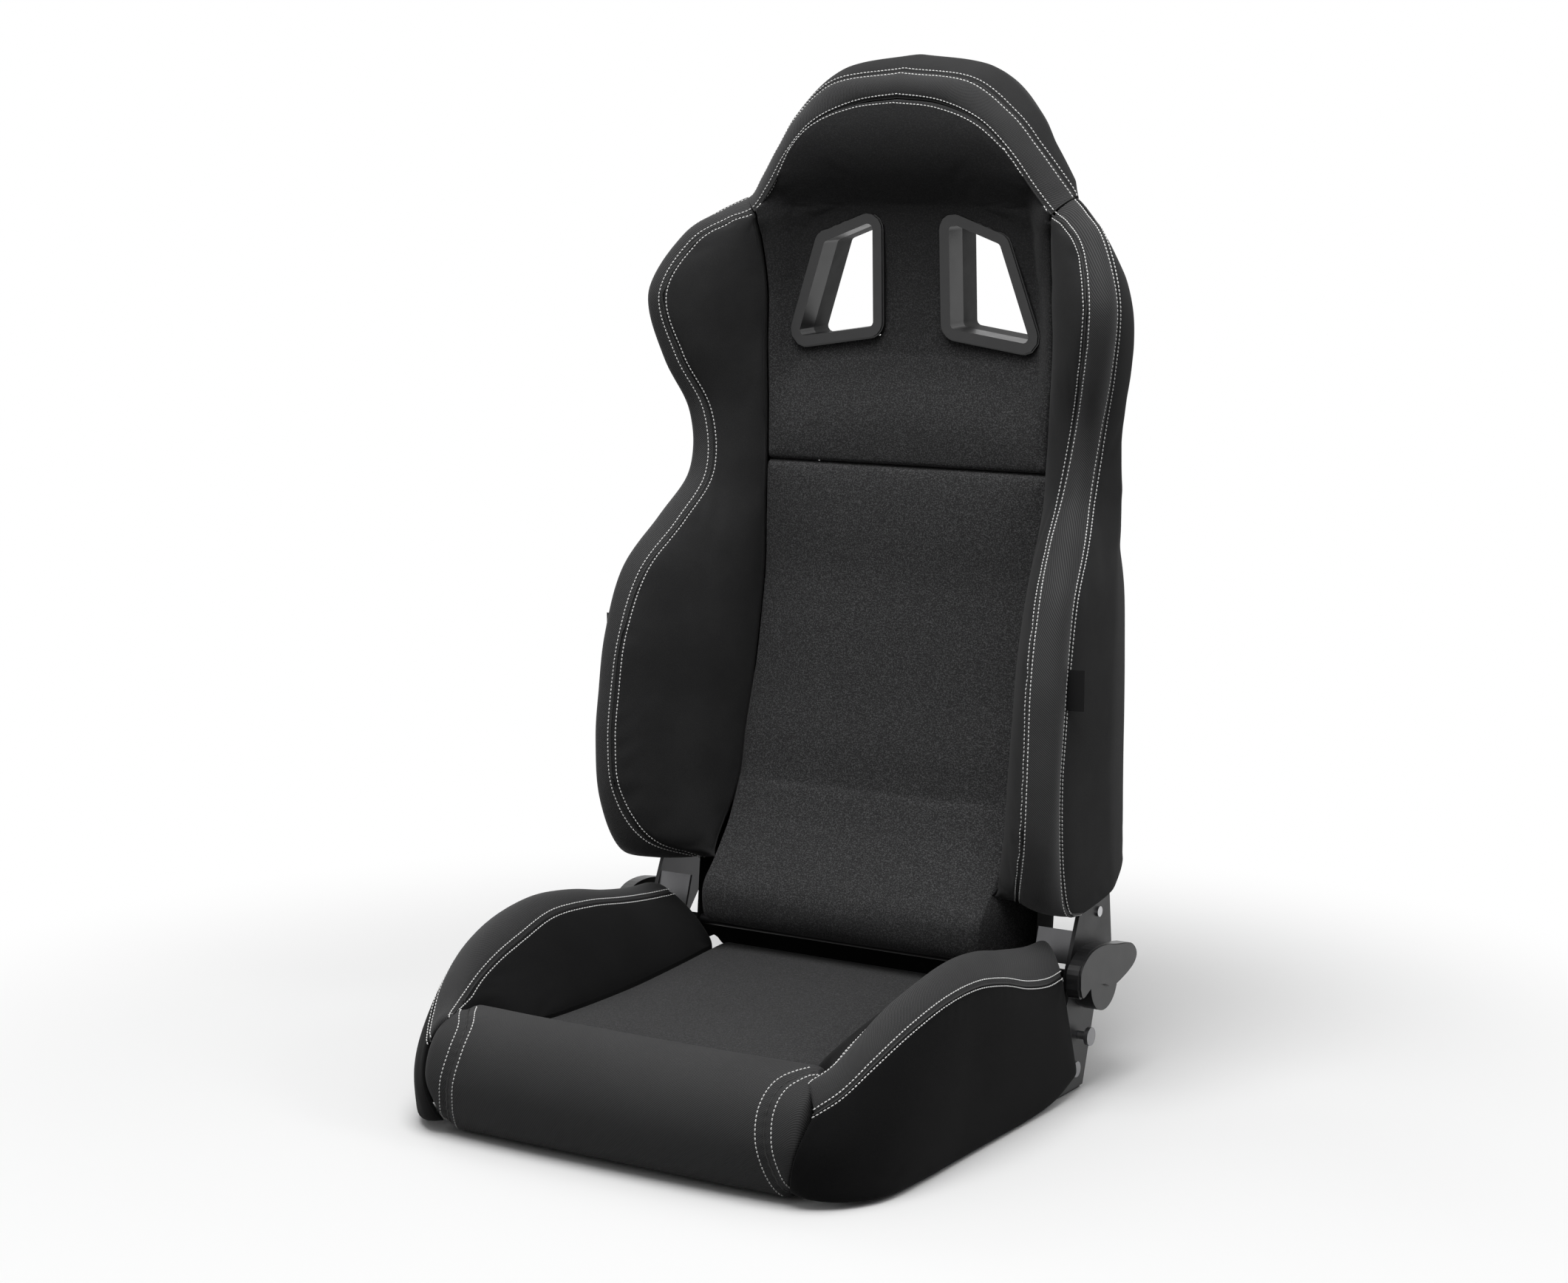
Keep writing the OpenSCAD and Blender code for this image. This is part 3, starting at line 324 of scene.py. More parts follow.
# A padded piece: closed solid from two grids, seams sunk, puffed by cloth pressure, one subdivision.
# parts gives (first column, material) pairs; seams are the columns that stay held
def makePad(name, outer, inner, parts, body, nodes, seams=(), cap=5.0, keep=None,
            heldMore=None, sink=2.2, endSink=None):
    nu, nv = outer.shape[:2]
    keep = np.ones((nu - 1, nv - 1), bool) if keep is None else keep
    out = gridNormals(outer, inner)
    outer = sinkSeams(outer, out, [0, -1, *seams], sink)
    turned = outer.swapaxes(0, 1), out.swapaxes(0, 1)
    outer = sinkSeams(*turned, [0, -1], sink if endSink is None else endSink).swapaxes(0, 1)
    front, rear, walls = solidFaces(nu, nv, keep)
    points = np.concatenate([outer.reshape(-1, 3), inner.reshape(-1, 3)])
    faces = np.concatenate([front, rear, walls])
    tri = points[faces]
    halves = np.cross(tri[:, 1], tri[:, 2]), np.cross(tri[:, 2], tri[:, 3])
    volume = (tri[:, 0] * halves[0]).sum() + (tri[:, 0] * halves[1]).sum()
    faces = faces if volume > 0 else faces[:, ::-1]
    along, across = lengthsAlong(outer, 0), lengthsAlong(outer, 1)
    middle = nv // 2
    uv = np.stack([across, np.repeat(along[:, middle:middle + 1], nv, 1)], -1).reshape(-1, 2)
    uv = np.concatenate([uv, uv])
    column = faces[:, 0] % nv
    index = np.zeros(len(faces), np.int32)
    for number, (first, _) in enumerate(parts):
        index[column >= first] = number
    obj = newObject(name, points, faces, [m for _, m in parts], index, uv)
    free = np.ones((nu, nv), bool)
    free[[0, -1]] = False
    free[:, [0, -1, *seams]] = False
    if heldMore is not None:
        free &= ~heldMore
    held = np.ones(len(points), bool)
    held[:nu * nv] = ~free.ravel()
    if cap > 0:
        inflate(obj, held, cap)
    grid = readPoints(obj)[:nu * nv].reshape(nu, nv, 3)
    if not keep.all():
        dropLoose(obj)
    finishPad(obj, body, nodes)
    return obj, grid, gridNormals(grid, inner)


# Points that belong to no face are deleted
def dropLoose(obj):
    bm = bmesh.new()
    bm.from_mesh(obj.data)
    bm.verts.ensure_lookup_table()
    bmesh.ops.delete(bm, geom=[v for v in bm.verts if not v.link_faces], context="VERTS")
    bm.to_mesh(obj.data)
    bm.free()


# The same piece on the other side: x is negated and the faces turn round
def mirrorPad(obj, name, body, nodes):
    points = flipX(readPoints(obj))
    mesh = obj.data
    count = len(mesh.polygons)
    corner = np.zeros(len(mesh.loops), np.int32)
    mesh.loops.foreach_get("vertex_index", corner)
    faces = corner.reshape(count, -1)[:, ::-1]
    index = np.zeros(count, np.int32)
    mesh.polygons.foreach_get("material_index", index)
    flat = np.zeros(len(corner) * 2, np.float32)
    mesh.uv_layers[0].data.foreach_get("uv", flat)
    uv = np.zeros((len(points), 2))
    uv[corner] = flat.reshape(-1, 2) / mm
    made = newObject(name, points, faces, list(mesh.materials), index, uv)
    finishPad(made, body, nodes)


seamCord = 1.1
stitch = {"pitch": 3.8, "length": 2.8, "radius": 0.6, "rowOffset": 4.3, "lift": 0.25}


# Points of a grid at a set distance from a column, with the surface normals there
def rowBeside(grid, normals, column, offset):
    s = acrossFrom(grid, column)
    s = s if column >= 0 else -s
    rows = np.arange(len(grid))
    j = np.clip((s < offset).sum(1) - 1, 0, grid.shape[1] - 2)
    f = ((offset - s[rows, j]) / np.maximum(s[rows, j + 1] - s[rows, j], 1e-6))[:, None]
    return mix(grid[rows, j], grid[rows, j + 1], f), unit(mix(normals[rows, j], normals[rows, j + 1], f))


# The same points at equal steps along the line
def evenly(line, normals, step, phase=0.5):
    s = lengthsAlong(line, 0)
    at = np.arange(phase * step, s[-1], step)
    pick = lambda where, v: np.stack([np.interp(where, s, v[:, c]) for c in range(3)], -1)
    ahead = pick(at + 0.5, line) - pick(at - 0.5, line)
    return pick(at, line), unit(pick(at, normals)), unit(ahead)


# One thread stitch: a lozenge of five rings, sunk at both ends
def stitchShape():
    sides = 6
    stations = np.array([(-0.5, 0.25), (-0.36, 0.85), (0.0, 1.0), (0.36, 0.85), (0.5, 0.25)])
    a = 2 * np.pi * np.arange(sides) / sides
    rings = np.stack([
        np.repeat(stations[:, :1] * stitch["length"], sides, 1),
        stations[:, 1:] * stitch["radius"] * np.cos(a),
        stations[:, 1:] * stitch["radius"] * np.sin(a) - (np.abs(stations[:, :1]) * 2)**3 * 0.35], -1)
    return rings.reshape(-1, 3), ringFaces(len(stations), sides)


# Stitches along several lines in one mesh; each line is (points, normals)
def sewLines(name, lines, material, body):
    shape, quads = stitchShape()
    every = [evenly(p, n, stitch["pitch"]) for p, n in lines if len(p) > 1]
    point, normal, ahead = (np.concatenate([e[c] for e in every]) for c in range(3))
    side = unit(np.cross(normal, ahead))
    up = np.cross(ahead, side)
    place = point + up * stitch["lift"]
    made = (place[:, None] + ahead[:, None] * shape[None, :, :1] + side[:, None] * shape[None, :, 1:2]
            + up[:, None] * shape[None, :, 2:3])
    faces = (quads[None] + (np.arange(len(point)) * len(shape))[:, None, None]).reshape(-1, 4)
    obj = newObject(name, made.reshape(-1, 3), faces, [material])
    dress(obj, body, [])


# Round cord swept along lines: a ring of points at every step, square to the line
def sweepLines(name, lines, radius, material, body, sides=8):
    points, faces, start = [], [], 0
    a = 2 * np.pi * np.arange(sides) / sides
    for line, normals in lines:
        ahead = unit(np.gradient(line, axis=0))
        side = unit(np.cross(normals, ahead))
        up = np.cross(ahead, side)
        cos, sin = np.cos(a)[None, :, None], np.sin(a)[None, :, None]
        ring = line[:, None] + radius * (side[:, None] * cos + up[:, None] * sin)
        points.append(ring.reshape(-1, 3))
        faces.append(ringFaces(len(line), sides, start))
        start += len(line) * sides
    obj = newObject(name, np.concatenate(points), np.concatenate(faces), [material])
    dress(obj, body, [])


class Wire:
    # One output of a node tree that takes ordinary arithmetic
    def __init__(self, tree, socket):
        self.tree, self.socket = tree, socket

    def math(self, kind, *values):
        node = addNode(self.tree, "ShaderNodeMath", dict(enumerate(values)), operation=kind)
        return Wire(self.tree, node.outputs[0])

    def __add__(self, o): return self.math("ADD", self, o)
    def __radd__(self, o): return self.math("ADD", o, self)
    def __sub__(self, o): return self.math("SUBTRACT", self, o)
    def __rsub__(self, o): return self.math("SUBTRACT", o, self)
    def __mul__(self, o): return self.math("MULTIPLY", self, o)
    def __rmul__(self, o): return self.math("MULTIPLY", o, self)

    def ramp(self, low, high):
        inputs = {"Value": self, "From Min": low, "From Max": high}
        node = addNode(self.tree, "ShaderNodeMapRange", inputs, interpolation_type="SMOOTHSTEP")
        return Wire(self.tree, node.outputs[0])


# An input takes a wire, another node's output or a plain value
def join(tree, value, socket):
    value = value.socket if isinstance(value, Wire) else value
    if isinstance(value, bpy.types.NodeSocket):
        tree.links.new(value, socket)
    else:
        socket.default_value = value


# A node with its settings and its inputs
def addNode(tree, kind, inputs=(), **settings):
    node = tree.nodes.new(kind)
    for key, value in settings.items():
        setattr(node, key, value)
    for key, value in dict(inputs).items():
        join(tree, value, node.inputs[key])
    return node


class Finish:
    # A material with one Principled surface, and short calls for its nodes
    def __init__(self, name, colour, roughness, metallic=0.0, **fixed):
        self.material = bpy.data.materials.new(name)
        self.material.use_nodes = True
        self.tree = self.material.node_tree
        self.surface = self.tree.nodes["Principled BSDF"]
        self.set("Base Color", (*colour, 1.0) if len(colour) == 3 else colour)
        self.set("Roughness", roughness)
        self.set("Metallic", metallic)
        for key, value in fixed.items():
            self.surface.inputs[key.replace("_", " ")].default_value = value
        self.material.diffuse_color = (*colour[:3], 1.0)

    def set(self, name, value):
        join(self.tree, value, self.surface.inputs[name])

    def node(self, kind, output=0, inputs=(), **settings):
        return Wire(self.tree, addNode(self.tree, kind, inputs, **settings).outputs[output])

    def place(self, name="Object"):
        return self.node("ShaderNodeTexCoord", name)

    def noise(self, scale, detail=2.0, rough=0.5, where=None, stretch=None):
        where = where or self.place()
        if stretch:
            where = self.node("ShaderNodeMapping", 0, {"Vector": where, "Scale": stretch})
        inputs = {"Vector": where, "Scale": scale, "Detail": detail, "Roughness": rough}
        return self.node("ShaderNodeTexNoise", "Fac", inputs)

    def blend(self, factor, a, b):
        a, b = ((*c, 1.0) if isinstance(c, tuple) else c for c in (a, b))
        return self.node("ShaderNodeMix", 2, {0: factor, 6: a, 7: b}, data_type="RGBA")

    def bump(self, height, distance, strength=1.0):
        inputs = {"Distance": distance, "Strength": strength, "Height": height}
        self.set("Normal", self.node("ShaderNodeBump", 0, inputs))


fabrics = {
    "knitDark": (0.024, 0.024, 0.0245), "knitLight": (0.090, 0.090, 0.092), "knitCells": 900.0,
    # headClothAndShade: the head's own darker, smoother cloth plus painted shade for the weaker light high up
    "headClothAndShade": (0.018, 0.018, 0.0185),
    "plain": (0.022, 0.022, 0.0225), "plainLight": (0.037, 0.037, 0.0375),
    # plainBaseShaded: a darker copy of plain for the base cushions, painted shade for the weaker light low down
    "plainBaseShaded": (0.005, 0.005, 0.0052), "plainBaseShadedLight": (0.009, 0.009, 0.0093),
    "twillDark": (0.010, 0.010, 0.0103), "twillLight": (0.058, 0.058, 0.059), "twillPitch": 0.0016,
    "thread": (0.80, 0.80, 0.79), "threadDark": (0.008, 0.008, 0.008),
}


# Speckled knit: light flecks where fine noise passes a threshold, over a slow change in tone; painted shade
# dims the flecks on the seat and darkens the head towards the top, where the head's cloth is also darker
def knitFabric():
    m = Finish("knit", (0.035, 0.035, 0.036), 0.92,
               Sheen_Weight=0.06, Sheen_Roughness=0.5, Specular_IOR_Level=0.15)
    cells = m.noise(fabrics["knitCells"], 2.0, 0.65)
    rib = m.noise(fabrics["knitCells"] * 0.45, 1.0, 0.5, stretch=(1.0, 1.0, 1.9))
    fleck = (cells * 0.75 + rib * 0.25).ramp(0.44, 0.66)
    slow = m.noise(7.0, 2.0)
    z = m.node("ShaderNodeSeparateXYZ", 2, {"Vector": m.place()})
    # Painted shade: the flecks drop to 55% below 0.1 m, so the seat's knit is darker than the backrest's
    low = z.ramp(0.1, 0.13) * 0.45 + 0.55
    tone = m.blend(fleck * low * (0.75 + slow * 0.5), fabrics["knitDark"], fabrics["knitLight"])
    # Towards the top the knit blends into the head's darker cloth, which also carries painted shade for the
    # weaker light up there
    m.set("Base Color", m.blend(z.ramp(0.55, 0.9) * 0.8, tone, fabrics["headClothAndShade"]))
    m.bump(cells, 0.0005, 0.6)
    return m.material


# Short-napped plain fabric: fine grain with broad cloudy patches
def plainFabric(name, low, high):
    m = Finish(name, low, 0.9, Sheen_Weight=0.04, Sheen_Roughness=0.45, Specular_IOR_Level=0.1)
    grain = m.noise(1400.0, 1.0)
    cloud = m.noise(14.0, 3.0, 0.55)
    m.set("Base Color", m.blend((grain * 0.45 + cloud * 0.75 - 0.1).ramp(0.2, 0.85), low, high))
    m.bump(grain, 0.0003, 0.35)
    return m.material


# Twill: diagonal ribs = sine of (u + v) / pitch, broken by a faint cross thread; painted shade darkens it
# towards the floor
def twillFabric():
    m = Finish("twill", fabrics["twillDark"], 0.78,
               Sheen_Weight=0.05, Sheen_Roughness=0.4, Specular_IOR_Level=0.3)
    uv = m.node("ShaderNodeSeparateXYZ", 0, {"Vector": m.place("UV")})
    v = Wire(m.tree, uv.socket.node.outputs[1])
    turn = 2 * math.pi / fabrics["twillPitch"] / math.sqrt(2)
    rib = m.node("ShaderNodeMath", 0, {0: (uv + v) * turn}, operation="SINE") * 0.5 + 0.5
    cross = m.node("ShaderNodeMath", 0, {0: (uv - v) * (turn * 1.6)}, operation="SINE") * 0.5 + 0.5
    weave = rib * 0.75 + cross * 0.25
    worn = m.noise(9.0, 3.0)
    z = m.node("ShaderNodeSeparateXYZ", 2, {"Vector": m.place()})
    # Painted shade: the twill tone falls to 28% at the floor and is full above 0.16 m
    low = z.ramp(-0.02, 0.16) * 0.72 + 0.28
    tone = (weave * 0.8 + worn * 0.4 - 0.1).ramp(0.1, 0.95) * low
    m.set("Base Color", m.blend(tone, fabrics["twillDark"], fabrics["twillLight"]))
    m.bump(weave, 0.0003, 0.6)
    return m.material


# Thread: two twisted plies show as a fine bump
def threadFinish(name, colour):
    m = Finish(name, colour, 0.6, Specular_IOR_Level=0.4)
    m.bump(m.noise(2600.0, 1.0), 0.0002, 0.5)
    return m.material


# Thin woven cloth of one colour
def plainCloth(name, colour):
    m = Finish(name, colour, 0.9, Specular_IOR_Level=0.2)
    m.bump(m.noise(1500.0, 1.0), 0.0002, 0.4)
    return m.material


# Moulded plastic: fine spark-eroded grain, lighter where handled
def plasticFinish(name, colour, roughness, grain=1700.0, height=0.00012):
    m = Finish(name, colour, roughness, Specular_IOR_Level=0.5)
    worn = m.noise(60.0, 3.0)
    m.set("Base Color", m.blend(worn.ramp(0.35, 0.8), colour, tuple(c * 1.35 for c in colour)))
    m.set("Roughness", worn * 0.16 + (roughness - 0.08))
    m.bump(m.noise(grain, 1.0), height, 0.5)
    return m.material


# Coated or plated steel: slight orange peel, and bare patches of tone
def steelFinish(name, colour, roughness, metallic):
    m = Finish(name, colour, roughness, metallic, Specular_IOR_Level=0.5)
    cloud = m.noise(35.0, 3.0)
    dark, light = tuple(c * 0.8 for c in colour), tuple(min(1, c * 1.15) for c in colour)
    m.set("Base Color", m.blend(cloud.ramp(0.3, 0.8), dark, light))
    m.set("Roughness", cloud * 0.2 + (roughness - 0.1))
    m.bump(m.noise(420.0, 2.0), 0.0001, 0.35)
    return m.material


# Recliner plate: black on its outer face; the flange that turns inwards is coloured grey, a painted reflection
# of the studio light in its black paint
def plateFinish():
    m = Finish("recliner_plate", (0.02, 0.02, 0.021), 0.42, 0.4, Specular_IOR_Level=0.5)
    x = m.node("ShaderNodeSeparateXYZ", 0, {"Vector": m.place()})
    # Painted reflection: where |x| is under 0.2325 m the plate turns grey and more metallic
    inside = 1.0 - m.node("ShaderNodeMath", 0, {0: x}, operation="ABSOLUTE").ramp(0.2325, 0.2345)
    cloud = m.noise(40.0, 3.0)
    m.set("Base Color", m.blend(inside, (0.016, 0.016, 0.017), (0.17, 0.17, 0.175)))
    m.set("Roughness", cloud * 0.25 + 0.3)
    m.set("Metallic", inside * 0.6 + 0.2)
    m.bump(m.noise(500.0, 2.0), 0.0001, 0.3)
    return m.material


# Woven strap: crosswise ribs
def strapFinish():
    m = Finish("strap", (0.02, 0.02, 0.021), 0.85)
    y = m.node("ShaderNodeTexWave", "Fac", {"Vector": m.place(), "Scale": 160.0, "Distortion": 0.4})
    m.set("Base Color", m.blend(y, (0.012, 0.012, 0.013), (0.04, 0.04, 0.042)))
    m.bump(y, 0.0004, 0.5)
    return m.material


knit, twill = knitFabric(), twillFabric()
plain = plainFabric("plain", fabrics["plain"], fabrics["plainLight"])
# The base's plain fabric is a darker copy of the backrest's: painted shade for the weaker light low down
plainBaseShaded = plainFabric("plain_base_shaded", fabrics["plainBaseShaded"], fabrics["plainBaseShadedLight"])
whiteThread = threadFinish("thread_white", fabrics["thread"])
blackThread = threadFinish("thread_black", fabrics["threadDark"])
# Near-black cloth for the sheet behind the seat gap: painted shade
gapShadeCloth = plainCloth("cloth_gap_shade", (0.006, 0.006, 0.006))
tagCloth = plainCloth("cloth_tag", (0.012, 0.012, 0.0125))
blackPlastic = plasticFinish("plastic_black", (0.012, 0.012, 0.0125), 0.5)
# The bezel rims are a little lighter than the other black plastic: partly painted highlight
rimPlastic = plasticFinish("plastic_rim", (0.017, 0.017, 0.0175), 0.36)
# The tunnels are darker than the other black plastic: painted shade inside the slots
tunnelPlastic = plasticFinish("plastic_tunnel", (0.004, 0.004, 0.004), 0.7)
leverPlastic = plasticFinish("plastic_lever", (0.010, 0.010, 0.0105), 0.36, 900.0, 0.00008)
blackSteel = steelFinish("steel_black", (0.016, 0.016, 0.017), 0.42, 0.1)
greySteel = steelFinish("steel_zinc", (0.32, 0.32, 0.33), 0.36, 0.9)
brightSteel = steelFinish("steel_bright", (0.62, 0.62, 0.63), 0.25, 1.0)
plateSteel, strap = plateFinish(), strapFinish()
print("materials made")

# Finish of each CAD node by the start of its name
nodeFinish = {
    "harness_bezel": rimPlastic, "harness_tunnel": tunnelPlastic, "hinge_cover": blackPlastic,
    "release_lever": leverPlastic, "upper_recliner_plate": plateSteel, "lower_recliner_plate": blackSteel,
    "base_": blackSteel, "back_hoop": blackSteel, "back_cross_tubes": blackSteel, "back_webbing": strap,
    "seat_webbing": strap, "plate_screws": brightSteel, "latch_stud": greySteel, "latch_pawl": greySteel,
    "lever_shaft": blackSteel, "hinge_bush": greySteel, "frame_bolts": greySteel, "floor_nuts": greySteel,
}
for nodeName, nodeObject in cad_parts.items():
    for start, material in nodeFinish.items():
        if nodeName.startswith(start):
            obj = nodeObject if isinstance(nodeObject, bpy.types.Object) else bpy.data.objects[nodeName]
            for place in obj.material_slots:
                place.link, place.material = "OBJECT", material
            if not obj.material_slots:
                obj.data.materials.append(material)

backGrid = {"rows": 110, "face": 26, "band": 18}
backLines = {"white": [], "seam": []}


# Adds both stitch rows and the dark cord of one seam, on both sides of the seat
def addSeam(lines, grid, normals, column, sides=(-1, 1), mirrored=True, cord=True, rows=slice(None)):
    g, n = grid[rows], normals[rows]
    for side in sides:
        p, q = rowBeside(g, n, column, side * stitch["rowOffset"])
        lines["white"].append((p, q))
        if mirrored:
            lines["white"].append((flipX(p), flipX(q)))
    if cord:
        p, q = g[:, column], n[:, column]
        lines["seam"].append((p - q * 0.6, q))
        if mirrored:
            lines["seam"].append((flipX(p - q * 0.6), flipX(q)))


# Bolsters of the backrest: plain face, twill band, and an inner side that keeps clear of the recliner
bolsterShape = {"seamGap": 0.3, "footLift": 14.0, "lowEdge": (5, 12.5, 0), "highEdge": (-12, 6, 0)}
faceN, bandN = backGrid["face"], backGrid["band"]
t = headT * (0.004 + 0.993 * np.linspace(0, 1, backGrid["rows"]))
fFace, fBand = spread(faceN), spread(bandN)
tt, ff = np.meshgrid(t, fFace, indexing="ij")
facePart = facePoint(tt, ff)
facePart[:, 0, 0] += bolsterShape["seamGap"]
tt, fb = np.meshgrid(t, fBand, indexing="ij")
outer = np.concatenate([facePart, bandPoint(tt, fb)[:, 1:]], 1)
lift = (bolsterShape["footLift"] * (1 - smooth(0, 0.12, t)))[:, None] * np.array([0, 0, 1.0])
lowEdge = curveAt(insertSeam, t / headT) + np.array(bolsterShape["lowEdge"]) + lift
highEdge = curveAt(outerSeam, t) + np.array(bolsterShape["highEdge"]) + lift
inner = mix(lowEdge[:, None], highEdge[:, None], np.linspace(0, 1, outer.shape[1])[None, :, None])
bolster, bolsterGrid, bolsterNormals = makePad(
    "back_bolster.R", outer, inner, [(0, plain), (faceN, twill)], "backrest", ["back_bolster_right"],
    seams=[faceN], cap=4.0, endSink=0.4)
mirrorPad(bolster, "back_bolster.L", "backrest", ["back_bolster_left"])
addSeam(backLines, bolsterGrid, bolsterNormals, faceN)
addSeam(backLines, bolsterGrid, bolsterNormals, -1, sides=(-1,))
print("bolsters made")

# Side covers of the backrest
f = np.concatenate([0.5 * spread(20)[:11], 0.5 + 0.5 * np.linspace(0, 1, 14)[1:]])
t = headT * (0.005 + 0.992 * np.linspace(0, 1, backGrid["rows"]))
tt, fs = np.meshgrid(t, f, indexing="ij")
outer, inner = sidePoint(tt, fs), sidePoint(tt, fs, seat["cover"])
sideCover, sideGrid, sideNormals = makePad(
    "back_side.R", outer, inner, [(0, plain)], "backrest", ["back_side_panel_right"],
    cap=1.2, sink=1.8)
mirrorPad(sideCover, "back_side.L", "backrest", ["back_side_panel_left"])
addSeam(backLines, sideGrid, sideNormals, 0, sides=(1,))
print("side covers made")

# Head band: one arch from shoulder to shoulder, twill in front and plain round the rear
headShape = {"rows": 121, "bandDepth": 24.0, "bandGap": 0.3, "edgeDepth": 14.0, "rearDepth": 8.0}
archS = np.linspace(0, 2, headShape["rows"])
archT = np.maximum(headT + (1 - headT) * np.minimum(archS, 2 - archS), headT * 1.003)
tt, fb = np.meshgrid(archT, fBand, indexing="ij")
band = bandPoint(tt, fb)
tt, fs = np.meshgrid(archT, f[1:], indexing="ij")
outer = np.concatenate([band, sidePoint(tt, fs)], 1)
e = seamOut(archT)[:, None]
spanF = np.linspace(0, 1, bandN + 1)[None, :, None]
innerFront = (curveAt(frontSeam, archT) + [0, headShape["bandDepth"], 0])[:, None] + e * headShape["bandGap"]
innerRear = curveAt(outerSeam, archT)[:, None] - e * headShape["edgeDepth"]
innerSide = sidePoint(tt, fs, seat["cover"]) - e * (headShape["rearDepth"] * (1 - fs))[..., None]
inner = np.concatenate([mix(innerFront, innerRear, spanF), innerSide], 1)
sign = np.where(archS <= 1, 1.0, -1.0)[:, None]
outer[..., 0] *= sign
inner[..., 0] *= sign
_, headGrid, headNormals = makePad(
    "head_band", outer, inner, [(0, twill), (bandN, plain)], "backrest", ["head_band"],
    seams=[bandN], cap=3.0, endSink=0.4)
addSeam(backLines, headGrid, headNormals, 0, sides=(1,), mirrored=False)
addSeam(backLines, headGrid, headNormals, bandN, mirrored=False)
for end in (0, -1):
    p, q = headGrid[end, :bandN + 1], headNormals[end, :bandN + 1]
    backLines["seam"].append((p - q * 0.7, q))
print("head band made")


# Lower insert with the apron roll that overhangs the seat
def lowerSide(v):
    split = 0.45
    return np.where((v < split)[..., None], curveAt(apronSeam, v / split),
                    curveAt(insertSeam, mix(2 / 14, crossT, (v - split) / (1 - split))))


insertShape = {"lowerCrown": 9.0, "slotRecess": 19.0, "headBulge": 13.0, "narrow": 0.9975, "flare": 0.14,
               "hoopGap": 9.3, "upperHoopGap": 13.3, "lowest": 118.0, "upperDepth": 17.0}
v, u = np.meshgrid(np.linspace(0, 1, 90), spread(48), indexing="ij")
p = lowerSide(v)
x = mix(-p[..., 0], p[..., 0], u) * insertShape["narrow"]
outer = np.stack([x, p[..., 1] - insertShape["lowerCrown"] * pillow(u, mix(0.06, 1, v)), p[..., 2]], -1)
flare = 1 + insertShape["flare"] * (1 - smooth(0.5, 0.75, v))
rear = np.interp(p[..., 2], *hoopLine) - insertShape["hoopGap"]
inner = np.stack([x * flare, rear, np.maximum(p[..., 2], insertShape["lowest"] + 22.5 * v)], -1)
makePad("back_insert_lower", outer, inner, [(0, knit)], "backrest", ["back_insert_lower"],
        cap=4.0)


# Upper insert: Coons patch between the seams, recessed at the slots and full at the head
def patchGrid(low, high, left, right):
    n, m = len(low) - 1, len(left) - 1
    u = np.linspace(0, 1, n + 1)[None, :, None]
    v = np.linspace(0, 1, m + 1)[:, None, None]
    return (mix(low[None], high[None], v) + mix(left[:, None], right[:, None], u)
            - mix(mix(low[0], low[-1], u), mix(high[0], high[-1], u), v))


slots = {"z": 750.0, "cornerRadius": 17.0, "corners": [(148, -71), (32, -54), (31, 75), (107, 47)],
         "hole": 5.0, "rearHole": -0.6, "held": -14.0}


# Whether a point lies inside the slot's rounded outline by more than d.
# The outline is the corner radius round an inner polygon: depth = radius + distance into that polygon
def inSlot(x, z, d):
    c, r = np.array(slots["corners"], float), slots["cornerRadius"]
    along = unit(np.roll(c, -1, 0) - c)
    inward = np.stack([along[:, 1], -along[:, 0]], -1)
    before = np.roll(inward, 1, 0)
    c = c + r * (inward + before) / (1 + (inward * before).sum(-1, keepdims=True))
    p = np.stack([np.abs(x), z - slots["z"]], -1)
    near, inside = np.full(x.shape, 1e9), np.ones(x.shape, bool)
    for i in range(4):
        side = c[(i + 1) % 4] - c[i]
        f = np.clip(((p - c[i]) * side).sum(-1) / (side * side).sum(), 0, 1)
        near = np.minimum(near, np.linalg.norm(p - c[i] - f[..., None] * side, axis=-1))
        inside &= ((p - c[i]) * inward[i]).sum(-1) > 0
    return r + np.where(inside, near, -near) > d


# Quads that stay when every point with hole set is cut away
def keptQuads(hole):
    return ~(hole[1:, 1:] | hole[:-1, 1:] | hole[1:, :-1] | hole[:-1, :-1])


# Dish round the slots less the bulge of the head panel
def recess(x, z):
    back = smooth(600, 680, z) * (1 - smooth(822, 858, z)) * (1 - smooth(132, 162, np.abs(x)))
    bulge = smooth(835, 890, z) * (1 - np.minimum(1, np.hypot(x / 130, (z - 870) / 75))**3)
    return insertShape["slotRecess"] * back - insertShape["headBulge"] * bulge


nRows, nCols, split = 118, 92, 0.7
seamInset = 0.9985
v = np.linspace(0, 1, nRows + 1)
right = np.where((v < split)[:, None], curveAt(insertSeam, mix(crossT, 1, v / split)),
                 curveAt(frontSeam, mix(headT, 16 / 19, (v - split) / (1 - split))))
left = flipX(right)
u = np.linspace(0, 1, nCols + 1)
s = 2 * u - 1
highRow = curveAt(frontSeam, 1 - np.abs(s) * 3 / 19)
highRow[:, 0] *= np.sign(s + 1e-9)
flat = patchGrid(mix(left[0], right[0], u[:, None]), highRow, left, right)
outer = flat * [seamInset, 1, 1]
outer[..., 1] += recess(flat[..., 0], flat[..., 2])
inner = flat * [seamInset, 1, 1]
rear = np.interp(flat[..., 2], *hoopLine) - insertShape["upperHoopGap"]
inner[..., 1] = np.maximum(flat[..., 1] + insertShape["upperDepth"], rear)
keep = keptQuads(inSlot(outer[..., 0], outer[..., 2], slots["hole"]))
nearSlot = inSlot(outer[..., 0], outer[..., 2], slots["held"])
